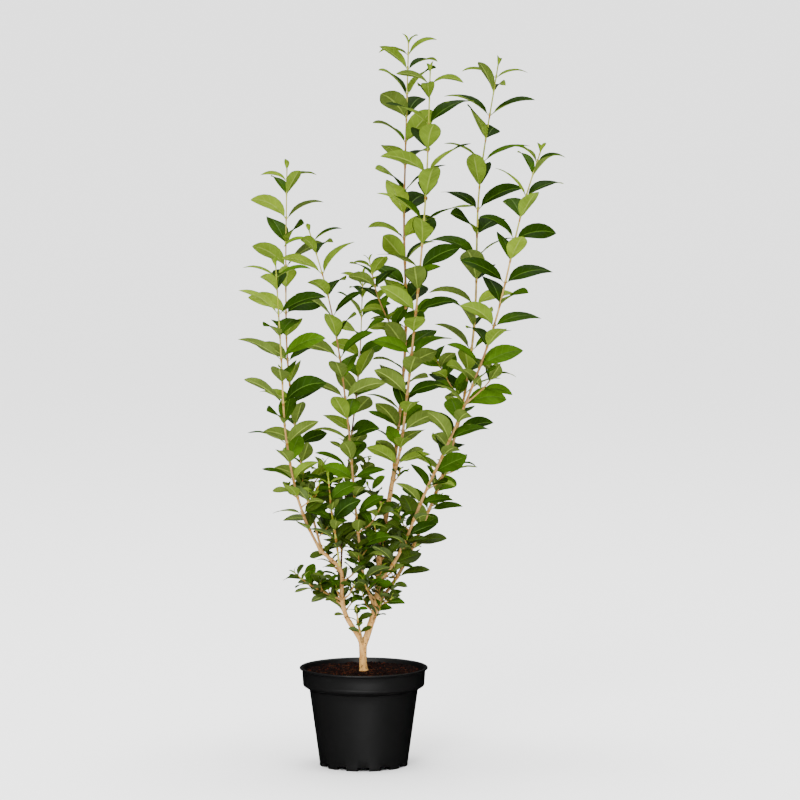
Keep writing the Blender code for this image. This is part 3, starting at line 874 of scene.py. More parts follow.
MASSES = (
    Mass("leader", "bough_right", Start.TIP,
         ((39, 16, 383), (45, 20, 439), (56, 28, 570), (54, 31, 741), (56, 32, 824), (60, 34, 966)),
         (2.4, 0.9), 39.5, (48, 66), -38.0, 20.0, 0,
         (Branch(((54, 28, 560), (30, 8, 602), (18, -4, 632), (8, -15, 677)), (1.1, 0.7), 40.0),),
         Side.MIDDLE, Tone.ROSY, 0.35),
    Mass("leader_front", "bough_right", Start.SIDE,
         ((38, 16, 376), (49, -4, 425), (56, -22, 480), (65, -40, 564), (83, -58, 776), (88, -64, 924)),
         (2.0, 0.9), 39.0, (46, 64), 5.0, 20.0, 0, (), Side.MIDDLE, Tone.GREEN, 0.4),
    Mass("right_back", "bough_right", Start.SIDE,
         ((16, 4, 212), (42, 20, 246), (79, 50, 317), (130, 88, 460), (147, 104, 559), (158, 118, 784),
          (182, 122, 938)),
         (2.5, 0.9), 40.0, (38, 65), -22.0, 28.0, 1,
         (Branch(((133, 92, 478), (116, 76, 507), (101, 64, 534), (94, 59, 546)), (1.1, 0.7), 60.0),),
         Side.RIGHT, Tone.GREEN, 0.55),
    Mass("right_front", "bough_right", Start.SIDE,
         ((19, 8, 244), (36, -4, 266), (80, -38, 365), (135, -66, 491), (166, -78, 575), (215, -92, 770),
          (231, -94, 820)),
         (2.3, 0.9), 35.0, (38, 62), 24.0, 28.0, 1,
         (Branch(((137, -67, 492), (158, -64, 510), (171, -60, 526), (176, -58, 534)), (1.1, 0.7), 20.0),),
         Side.RIGHT, Tone.TAN, 0.75),
    Mass("left_outer", "bough_left", Start.TIP,
         ((-57, -20, 290), (-76, -32, 330), (-99, -60, 428), (-107, -86, 560), (-113, -97, 672)),
         (2.0, 0.8), 36.0, (36, 62), -12.0, 20.0, 1, (), Side.LEFT, Tone.GREEN, 0.25),
    Mass("left_inner", "bough_left", Start.SIDE,
         ((-55, -19, 288), (-68, 0, 333), (-92, 30, 452), (-103, 44, 545), (-105, 50, 640), (-103, 45, 798)),
         (1.7, 0.8), 38.5, (38, 58), 20.0, 24.0, 1, (), Side.LEFT, Tone.TAN, 0.4),
    Mass("left_short", "bough_left", Start.SIDE,
         ((-31, -10, 259), (-36, -24, 302), (-42, -40, 345), (-46, -57, 392)),
         (1.6, 0.8), 19.0, (34, 44), 10.0, 12.0, 0, (), Side.LEFT, Tone.LIME, 0.5),
    Mass("left_back", "bough_left", Start.SIDE,
         ((-31, -9, 250), (-27, 22, 332), (-19, 60, 419), (-7, 92, 530), (-2, 112, 652)),
         (1.5, 0.7), 33.0, (38, 50), 30.0, 18.0, 1, (), Side.LEFT, Tone.DARK, 0.6),
    Mass("centre", "bough_right", Start.SIDE,
         ((15, 3, 209), (2, -3, 246), (-7, -14, 313), (-21, -28, 468), (-33, -32, 561), (-49, -34, 641),
          (-71, -37, 716)),
         (1.9, 0.8), 35.0, (38, 56), -20.0, 30.0, 2, (), Side.MIDDLE, Tone.ROSY, 0.5),
    Mass("twig_left_low", "bough_left", Start.SIDE,
         ((-28.5, -5, 222), (-50, -16, 233), (-74, -33, 248), (-92, -41, 264)),
         (1.3, 0.7), 16.0, (19, 30), 70.0, 12.0),
    Mass("twig_left_inner", "bough_left", Start.SIDE,
         ((-28.5, -5, 222), (-19, -14, 231), (-12, -22, 246)),
         (1.2, 0.7), 14.0, (18, 24), 20.0, 9.0),
    Mass("tuft_middle", "trunk", Start.SIDE,
         ((-0.5, -1, 160), (-3, -10, 172), (-7, -15, 192), (-10, -18, 215)),
         (1.7, 0.8), 10.5, (15, 20), 0.0, 12.0),
    Mass("tuft_right_low", "bough_right", Start.SIDE,
         ((15, 3, 208), (27, -6, 217), (38, -14, 226)),
         (1.3, 0.7), 15.0, (20, 30), 80.0, 8.0),
)


@dataclass
class Leaf:
    """One leaf, with its stalk.

    It starts at its root inside the stem and heads level, and its axis is the stem's, turned a little
    upright. In radians it rises at its root, arches down by its tip and rolls about its own line. Young is
    1 at a shoot's tip and 0 on old wood.
    """

    root: Vector
    heading: Vector
    axis: Vector
    length: float
    rise: float
    arch: float
    roll: float
    young: float = 0.0

    WIDTH_SHARE = 0.43
    THICKNESS_SHARE = 0.022
    STATIONS = ((0.32, 0.92), (0.66, 0.88))
    SMALL = 32.0
    SMALL_STATIONS = ((0.47, 1.0),)
    STALK_HALF_WIDTH = 0.45
    STALK_DEPTH = 0.55

    def frame(self, share: float) -> tuple[Vector, Vector, Vector, Vector]:
        """The leaf's own axes somewhere along it.

        Args:
            share: The share of its length from the root.

        Returns:
            The point, direction, side and normal there.
        """
        angle = self.rise - self.arch * share
        out = (math.sin(self.rise) - math.sin(angle)) / self.arch
        lift = (math.cos(angle) - math.cos(self.rise)) / self.arch
        point = self.root + (self.heading * out + self.axis * lift) * self.length
        direction = self.heading * math.cos(angle) + self.axis * math.sin(angle)
        level = self.axis * math.cos(angle) - self.heading * math.sin(angle)
        normal = Matrix.Rotation(self.roll * share, 3, direction) @ level
        return point, direction, direction.cross(normal), normal

    def skin(self, swell: float = 0.0, root: float = 0.0) -> Skin:
        """The leaf's plain closed skin, swollen for a test of clearance.

        Args:
            swell: How far the skin is swollen.
            root: The share of the length at which the skin starts.

        Returns:
            The points and faces.
        """
        keel = self.length * self.THICKNESS_SHARE
        sections = [(root, self.STALK_HALF_WIDTH * MM, self.STALK_DEPTH * MM)]
        half = self.length * self.WIDTH_SHARE / 2
        stations = self.STATIONS if self.length > self.SMALL * MM else self.SMALL_STATIONS
        sections += [(share, half * width, keel) for share, width in stations]
        rings = []
        for share, half_width, depth in sections:
            point, _, side, normal = self.frame(share)
            reach = side * (half_width + swell)
            rings.append([point + reach + normal * swell, point - normal * (depth + swell),
                          point - reach + normal * swell])
        points, faces = loft(rings)
        tip, direction, _, _ = self.frame(1.0)
        points.append(tip + direction * swell)
        last = len(points) - 4
        faces.pop()
        faces += [(last + i, last + (i + 1) % 3, len(points) - 1) for i in range(3)]
        return points, bulging(points, faces)


def bulging(points: Sequence[Vector], faces: Sequence[Face]) -> list[Face]:
    """The faces, each four-sided one split along the diagonal that stands out, as on a twisted leaf.

    Args:
        points: The points.
        faces: The faces.

    Returns:
        The faces, none with four sides.
    """
    split = []
    for face in faces:
        if len(face) != 4:
            split.append(face)
            continue
        a, b, c, d = face
        outwards = (points[c] - points[a]).cross(points[d] - points[b])
        if (points[a] + points[c] - points[b] - points[d]).dot(outwards) > 0:
            split += [(a, b, c), (a, c, d)]
        else:
            split += [(a, b, d), (b, c, d)]
    return split


@dataclass(frozen=True)
class Draft:
    """What is drawn for a leaf, in metres and degrees, and where on its stem it stands."""

    distance: float
    point: Vector
    axis: Vector
    sink: float
    turn: float
    length: float
    rise: float
    arch: float
    roll: float


@dataclass(frozen=True)
class Rule:
    """The seeded rule by which leaf pairs stand on a stem, in mm, degrees and shares."""

    blade_foot: float = 0.14
    root_depth: float = 0.6
    clearance: float = 0.6
    upright: float = 0.4
    tip_gaps: Shares = (0.46, 0.6)
    tip_leaves: Shares = (0.3, 0.72, 0.92)
    tip_rises: Shares = (70.0, 40.0, 45.0)
    rise: Span = (37.0, 51.0)
    arch: Span = (26.0, 50.0)
    front_lift: float = 6.0
    front_stiffness: float = 0.2
    low_internode: float = 0.6
    upper_internode: float = 0.82
    full_internode: float = 1.5
    full_leaf: float = 1.6
    turn_per_node: float = 90.0
    below_tip: float = 1.5
    turn_spread: float = 14.0
    rise_spread: float = 9.0
    roll_spread: float = 44.0
    length_spread: Span = (0.9, 1.07)
    arch_spread: Span = (0.75, 1.25)
    gap_spread: Span = (0.94, 1.06)
    tries: Path = (
        (0.0, 0.0, 1.0), (20.0, 8.0, 1.0), (-20.0, -8.0, 1.0), (38.0, 4.0, 0.85), (-38.0, 10.0, 0.85))

    def pair(self, stem: Stem, distance: float, turn: float, length: float, rise: float, arch: float,
             dice: Dice) -> Iterator[Draft]:
        """Draw two opposite leaves.

        Args:
            stem: The stem that they stand on.
            distance: How far from its foot.
            turn: The way the first one heads, in degrees.
            length: Their length before the draw, in mm.
            rise: How steeply they start, in degrees.
            arch: How far they bend down, in degrees.
            dice: Draws the differences.

        Yields:
            The draft of each leaf.
        """
        point, tangent, radius = stem.at(distance)
        axis = (tangent * (1.0 - self.upright) + UP * self.upright).normalized()
        for half_turn in (0.0, 180.0):
            yield Draft(
                distance, point, axis, radius * (1.0 - self.root_depth),
                turn=turn + half_turn + dice.uniform(-self.turn_spread, self.turn_spread),
                length=length * dice.uniform(*self.length_spread) * MM,
                rise=rise + dice.uniform(-self.rise_spread, self.rise_spread),
                arch=arch * dice.uniform(*self.arch_spread),
                roll=dice.uniform(-self.roll_spread, self.roll_spread))

    def leaf(self, draft: Draft, turn: float, rise: float, share: float) -> Leaf:
        """A leaf from its draft.

        Args:
            draft: What was drawn for it.
            turn: How much further this try turns it, in degrees.
            rise: How much more steeply this try starts it, in degrees.
            share: How far this try shortens it.

        Returns:
            The leaf.
        """
        heading = axis_at(draft.axis, draft.turn + turn)
        front = max(0.0, -heading.y)
        return Leaf(
            draft.point + heading * draft.sink, heading, draft.axis, draft.length * share,
            rise=math.radians(draft.rise + rise + self.front_lift * front),
            arch=math.radians(draft.arch * (1.0 - self.front_stiffness * front)),
            roll=math.radians(draft.roll))

    def place(self, draft: Draft, standing: Trees, own: Trees) -> Leaf | None:
        """Try a leaf until it touches nothing.

        Args:
            draft: What was drawn for it.
            standing: What its whole skin keeps clear of.
            own: What its blade keeps clear of, the other leaves of its own mass.

        Returns:
            The leaf, or None where every try touches something.
        """
        for turn, rise, share in self.tries:
            leaf = self.leaf(draft, turn, rise, share)
            gap = self.clearance * MM
            if not touches(leaf.skin(gap), standing) and not touches(leaf.skin(gap, self.blade_foot), own):
                return leaf
        return None


@dataclass(frozen=True)
class TwigRule:
    """The seeded rule of the side twigs, branches and short sprays, in mm, degrees and shares."""

    golden_turn: float = 137.5
    zone: Span = (0.12, 0.54)
    length: Span = (34.0, 58.0)
    radius: Span = (1.0, 0.65)
    bare: float = 9.0
    turn_spread: float = 25.0
    leaf_share: float = 0.62
    leaf_growth: float = 1.3
    internode_share: float = 0.5
    bend: Pairs = ((0.42, 0.28), (0.7, 0.72))
    branch_bare: float = 12.0
    branch_internode: float = 0.55
    branch_leaf: Span = (0.8, 0.66)
    clearance: float = 1.0
    sprays: tuple[tuple[str, int, float, float], ...] = (
        ("bough_right", 6, 200.0, 42.0), ("bough_left", 4, 110.0, 34.0))
    spray_turns: Shares = (0.0, 35.0, -35.0, 70.0, -70.0, 120.0, 180.0)
    spray_zone: Span = (0.24, 0.94)
    spray_bend: Pairs = ((0.45, 0.3), (0.78, 0.78))
    spray_radius: Span = (1.2, 0.7)
    spray_internode: float = 20.0
    spray_leaf: Span = (25.0, 36.0)
    spray_bare: float = 12.0
    spray_shortening: float = 0.16
    spray_clearance: float = 1.5


RULE = Rule()
TWIG_RULE = TwigRule()


def bent_path(foot: Vector, heading: Vector, length: float, bend: Pairs) -> Path:
    """The path of a short stem that leaves its foot outwards and turns up.

    Args:
        foot: Where it starts, in mm.
        heading: The way that it leaves.
        length: Its reach, in mm.
        bend: How far each further point stands outwards and upwards, as shares of the reach.

    Returns:
        The points in mm.
    """
    path = [foot]
    for outwards, upwards in bend:
        path.append(foot + (heading * outwards + UP * upwards) * length)
    return tuple(tuple(point) for point in path)


@dataclass
class Shoot:
    """One stem of a mass with what its leaf pairs need, and the nodes where they stand."""

    stem: Stem
    internode: float
    leaf: Span
    turn: float
    bare: float
    nodes: list[float] = field(default_factory=list)


class Growth:
    """One mass as it grows: its stems, the leaves on them and what they keep clear of."""

    def __init__(self, mass: Mass, carrier: Stem) -> None:
        """Start a mass's main stem on its carrier.

        Args:
            mass: What grows.
            carrier: The limb that it grows from.
        """
        self.mass = mass
        self.carrier = carrier
        self.dice = random.Random(mass.name)
        main = Stem(mass.path, mass.radius, STEM_STEP, STEM_SIDES)
        if mass.start is Start.TIP:
            main.stand_on_tip(carrier)
        else:
            main.stand_clear(carrier)
        self.main = main
        self.shoots = [Shoot(main, mass.internode, mass.leaf, mass.turn, mass.bare)]
        for branch in mass.branches:
            stem = Stem(branch.path, branch.radius, TWIG_STEP, TWIG_SIDES)
            leaf = tuple(length * share for length, share in zip(mass.leaf, TWIG_RULE.branch_leaf))
            internode = mass.internode * TWIG_RULE.branch_internode
            self.shoots.append(Shoot(stem, internode, leaf, branch.turn, TWIG_RULE.branch_bare))
        self.leaves: list[Leaf] = []
        self.own: Trees = []
        self.axils: list[tuple[Shoot, float, Vector]] = []

    def add_twigs(self, standing: Trees) -> None:
        """Grow side twigs on the low wood by the seeded rule, where they touch nothing.

        Args:
            standing: What they keep clear of.
        """
        mass = self.mass
        for index in range(mass.twigs):
            share = blend(TWIG_RULE.zone, (index + self.dice.random() * 0.5) / mass.twigs)
            point, tangent, _ = self.main.at(self.main.length * share)
            turn = mass.turn + TWIG_RULE.golden_turn * index
            turn += self.dice.uniform(-TWIG_RULE.turn_spread, TWIG_RULE.turn_spread)
            heading = axis_at(tangent, turn)
            length = self.dice.uniform(*TWIG_RULE.length)
            path = bent_path(point / MM, heading, length, TWIG_RULE.bend)
            twig = Stem(path, TWIG_RULE.radius, TWIG_STEP, TWIG_SIDES)
            if touches(twig.skin(TWIG_RULE.clearance * MM), standing):
                continue
            small = mass.leaf[0] * TWIG_RULE.leaf_share
            leaf = (small, small * TWIG_RULE.leaf_growth)
            internode = mass.internode * TWIG_RULE.internode_share
            self.shoots.append(Shoot(twig, internode, leaf, turn, TWIG_RULE.bare))

    def add_leaves(self, standing: Trees) -> None:
        """Set the leaf pairs of every stem, from the tip down.

        Args:
            standing: What they keep clear of.
        """
        for shoot in self.shoots:
            for draft in self.pairs(shoot):
                self.set_leaf(shoot, draft, standing)

    def set_leaf(self, shoot: Shoot, draft: Draft, standing: Trees) -> None:
        """Place one leaf, then slide its root onto the stem's smooth line.

        Args:
            shoot: The shoot that it stands on.
            draft: What was drawn for it.
            standing: What it keeps clear of.
        """
        leaf = RULE.place(draft, standing, self.own)
        if leaf is None:
            return
        self.own.append(tree_of([leaf.skin(0.0, RULE.blade_foot)]))
        self.axils.append((shoot, draft.distance, leaf.heading))
        leaf.root = leaf.root + shoot.stem.smooth_at(draft.distance) - draft.point
        leaf.young = draft.distance / shoot.stem.length
        self.leaves.append(leaf)

    def pairs(self, shoot: Shoot) -> Iterator[Draft]:
        """Go down a shoot from its tip, pair by pair.

        Args:
            shoot: The shoot, which is told where its nodes are.

        Yields:
            The draft of each leaf.
        """
        stem = shoot.stem
        below_tip = RULE.below_tip * MM
        index = 0
        while stem.length - below_tip > shoot.bare * MM:
            distance = stem.length - below_tip
            shoot.nodes.append(distance)
            height = distance / stem.length
            full = blend(shoot.leaf, min(1.0, height * RULE.full_leaf))
            share = RULE.tip_leaves[index] if index < len(RULE.tip_leaves) else 1.0
            rise = RULE.tip_rises[index] if index < len(RULE.tip_rises) else blend(RULE.rise, height)
            turn = shoot.turn + RULE.turn_per_node * (index - 1)
            arch = blend(RULE.arch, height)
            yield from RULE.pair(stem, distance, turn, full * share, rise, arch, self.dice)
            gap = RULE.tip_gaps[index] if index < len(RULE.tip_gaps) else self.dice.uniform(*RULE.gap_spread)
            up = min(1.0, height * RULE.full_internode)
            closeness = blend((RULE.low_internode, RULE.upper_internode), up)
            below_tip += gap * shoot.internode * MM * closeness
            index += 1

    def tree(self) -> BVHTree:
        """A search tree over the mass's stems and leaves."""
        stems = [shoot.stem.skin() for shoot in self.shoots]
        return tree_of(stems + [leaf.skin() for leaf in self.leaves])


@dataclass(frozen=True)
class FinerRule:
    """The finer twigs: short leafy shoots in the axils and on the low wood, in mm and shares.

    A pair of values is for the foot of the stem and for the top of the zone.
    """

    zone: Span = (0.03, 0.62)
    chance: Span = (0.46, 0.16)
    side_chance: float = 0.3
    fading: Span = (250.0, 430.0)
    length: Span = (30.0, 10.0)
    leaf: Span = (31.0, 15.0)
    spread: Span = (0.75, 1.2)
    radius: Span = (0.7, 0.42)
    bend: Pairs = ((0.5, 0.45), (0.72, 1.0))
    internode: Span = (11.0, 8.0)
    bare: float = 3.0
    lift: float = 1.2
    clearance: float = 0.3
    first_leaf: float = 0.8
    step: float = 5.0
    low_zone: float = 0.34
    low_step: float = 16.0
    low_chance: float = 0.42
    bough_zone: Span = (0.1, 0.99)
    bough_step: Span = (5.5, 13.0)
    bough_length: Span = (16.0, 38.0)
    bough_leaf: Span = (17.0, 29.0)
    bough_radius: Span = (0.9, 0.5)
    bough_internode: float = 11.5
    bough_growth: float = 1.1
    bough_bare: float = 5.0

    def lowness(self, height: float) -> float:
        """1 in the low crown and 0 in the high crown, where only large leaves grow."""
        start, end = self.fading
        return clamp((end - height / MM) / (end - start))

    def sites(self, growth: Growth) -> list[tuple[Shoot, float, Vector, float]]:
        """Where on a mass finer twigs may stand: in its axils, and in a spiral on its low wood.

        Args:
            growth: The mass, with its main leaves set.

        Returns:
            The shoot, the distance along it, the way the twig heads and the chance that it grows.
        """
        found = []
        for shoot, distance, heading in growth.axils:
            up = min(1.0, distance / shoot.stem.length / self.zone[1])
            rarer = 1.0 if shoot is growth.shoots[0] else self.side_chance
            rarer *= self.lowness(shoot.stem.at(distance)[0].z)
            found.append((shoot, distance, heading, blend(self.chance, up) * rarer))
        stem = growth.main
        distance = self.low_step * MM
        turn = growth.mass.turn
        while distance < stem.length * self.low_zone:
            tangent = stem.at(distance)[1]
            heading = axis_at(tangent, turn)
            chance = self.low_chance * self.lowness(stem.at(distance)[0].z)
            found.append((growth.shoots[0], distance, heading, chance))
            turn += TWIG_RULE.golden_turn
            distance += self.low_step * MM
        return found

    def grow(self, growth: Growth, standing: Trees) -> int:
        """Grow the finer twigs of one mass.

        Args:
            growth: The mass, with its main leaves set.
            standing: What the twigs keep clear of.

        Returns:
            How many twigs grew.
        """
        dice = random.Random(f"{growth.mass.name} finer")
        count = 0
        for shoot, distance, heading, chance in self.sites(growth):
            share = distance / shoot.stem.length
            up = min(1.0, share / self.zone[1])
            length = blend(self.length, up) * dice.uniform(*self.spread)
            size = blend(self.leaf, up) * dice.uniform(*self.spread)
            if dice.random() > chance or not self.zone[0] < share < self.zone[1]:
                continue
            foot = shoot.stem.smooth_at(distance) + UP * self.lift * MM
            path = bent_path(foot / MM, heading, length, self.bend)
            twig = Stem(path, self.radius, self.step, TWIG_SIDES)
            if touches(twig.skin(self.clearance * MM), standing):
                continue
            turn = dice.uniform(0.0, 360.0)
            sizes = (size * self.first_leaf, size)
            finer = Shoot(twig, blend(self.internode, up), sizes, turn, self.bare)
            growth.shoots.append(finer)
            for draft in growth.pairs(finer):
                growth.set_leaf(finer, draft, standing)
            count += 1
        return count

    def climb(self, limb_name: str, limb: Stem, standing: Trees) -> list[Growth]:
        """Grow finer twigs in a spiral up one bough.

        Args:
            limb_name: The bough's name.
            limb: Its centre line.
            standing: What the twigs keep clear of, which takes in each twig as it is grown.

        Returns:
            The twigs, each as a mass with no solid.
        """
        dice = random.Random(f"{limb_name} twigs")
        grown = []
        distance = limb.length * self.bough_zone[0]
        turn = dice.uniform(0.0, 360.0)
        while distance < limb.length * self.bough_zone[1]:
            point = limb.at(distance)[0]
            heading = compass(math.radians(turn))
            length = dice.uniform(*self.bough_length)
            size = dice.uniform(*self.bough_leaf)
            mass = Mass(f"finer_{limb_name}_{len(grown)}", limb_name, Start.SIDE,
                        bent_path(point / MM, heading, length, self.bend), self.bough_radius,
                        self.bough_internode, (size, size * self.bough_growth), turn, self.bough_bare,
                        solid=False)
            growth = Growth(mass, limb)
            if not touches(growth.main.skin(self.clearance * MM), standing[1:]):
                growth.add_leaves(standing)
                standing.append(growth.tree())
                grown.append(growth)
            turn += TWIG_RULE.golden_turn
            distance += blend(self.bough_step, distance / limb.length) * MM
        return grown


# Foliage as it looks


BLADE_TINTS = (
    BladeFinish("upper_deep", rgb(32, 56, 3), 0.5, 0.3, 0.0001),
    BladeFinish("upper_moss", rgb(50, 80, 6), 0.5, 0.3, 0.0001),
    BladeFinish("upper_bright", rgb(68, 102, 10), 0.5, 0.3, 0.0001),
    BladeFinish("upper_young", rgb(98, 128, 20), 0.5, 0.3, 0.00008),
    BladeFinish("upper_old", rgb(54, 72, 16), 0.38, 0.35, 0.00012, 0.16),
    BladeFinish("under_pale", rgb(96, 119, 31), 0.7, 0.3, 0.0001, 0.03),
    BladeFinish("under_soft", rgb(81, 98, 34), 0.7, 0.3, 0.0001, 0.03),
    BladeFinish("under_young", rgb(111, 134, 33), 0.66, 0.25, 0.00008, 0.03),
    BladeFinish("under_old", rgb(70, 85, 41), 0.7, 0.3, 0.0001, 0.03),
    PlainFinish("rib_upper", rgb(70, 100, 22), 0.5, 0.2),
    PlainFinish("rib_under", rgb(118, 138, 48), 0.6, 0.2),
)
BLADE_CREASE = 60.0
SHOOT_CREASE = 50.0
YOUNG_FROM = 0.955
YOUNG_LENGTH = 40.0

# Each deal is the height in metres that it holds up to, then the tints of the upper side and of the
# underside, each with the share of draws that it holds up to.
DEALS = (
    (0.36, ((0.6, "upper_old"), (0.9, "upper_moss"), (1.0, "upper_deep")),
     ((0.6, "under_old"), (1.0, "under_soft"))),
    (0.6, ((0.45, "upper_moss"), (0.8, "upper_bright"), (1.0, "upper_deep")),
     ((0.6, "under_soft"), (1.0, "under_pale"))),
    (math.inf, ((0.7, "upper_deep"), (0.92, "upper_moss"), (1.0, "upper_bright")),
     ((0.65, "under_pale"), (0.85, "under_young"), (1.0, "under_soft"))),
)

SHOOT_TINTS = (
    PlainFinish("shoot_green", rgb(150, 160, 44), 0.5),
    PlainFinish("shoot_lime", rgb(172, 168, 66), 0.52),
    PlainFinish("shoot_straw", rgb(188, 156, 84), 0.56, 0.3),
    PlainFinish("shoot_rosy", rgb(150, 112, 66), 0.58, 0.35),
    PlainFinish("shoot_tan", rgb(168, 130, 76), 0.6, 0.35),
    PlainFinish("shoot_umber", rgb(88, 58, 44), 0.62, 0.35),
    PlainFinish("node_ochre", rgb(156, 112, 46), 0.6, 0.4, 900.0),
    PlainFinish("bud_green", rgb(122, 150, 40), 0.5),
)
BLADE_NUMBERS = {finish.name: number for number, finish in enumerate(BLADE_TINTS)}
SHOOT_NUMBERS = {finish.name: number for number, finish in enumerate(SHOOT_TINTS)}
BUD = SHOOT_NUMBERS["bud_green"]


@dataclass(frozen=True)
class Weave:
    """How finely a blade is meshed: its stations, and the points across its two sides, as shares."""

    stations: Shares
    upper: Shares
    under: Shares
    rib_reach: float = 0.06

    def finishes(self, tints: Tints) -> list[int]:
        """The finish of each face round a section, from the upper side's first edge on.

        Args:
            tints: The finishes of the upper side, underside, upper rib and lower rib.

        Returns:
            The finishes' numbers.
        """
        upper, under, upper_rib, under_rib = tints
        found = []
        for side, plain, rib in ((self.upper, upper, upper_rib), (self.under, under, under_rib)):
            for near, far in zip(side, side[1:]):
                found.append(rib if abs(near + far) / 2 < self.rib_reach else plain)
            found.append(under)
        return found


LARGE_WEAVE = Weave(
    (0.0, 0.06, 0.1, 0.17, 0.27, 0.38, 0.5, 0.62, 0.73, 0.83, 0.91, 0.97, 1.0),
    (1.0, 0.55, 0.05, 0.0, -0.05, -0.55, -1.0),
    (-0.55, -0.07, 0.0, 0.07, 0.55))
SMALL_WEAVE = Weave(
    (0.0, 0.08, 0.2, 0.38, 0.56, 0.74, 0.9, 1.0),
    (1.0, 0.5, 0.0, -0.5, -1.0),
    (-0.5, 0.0, 0.5))


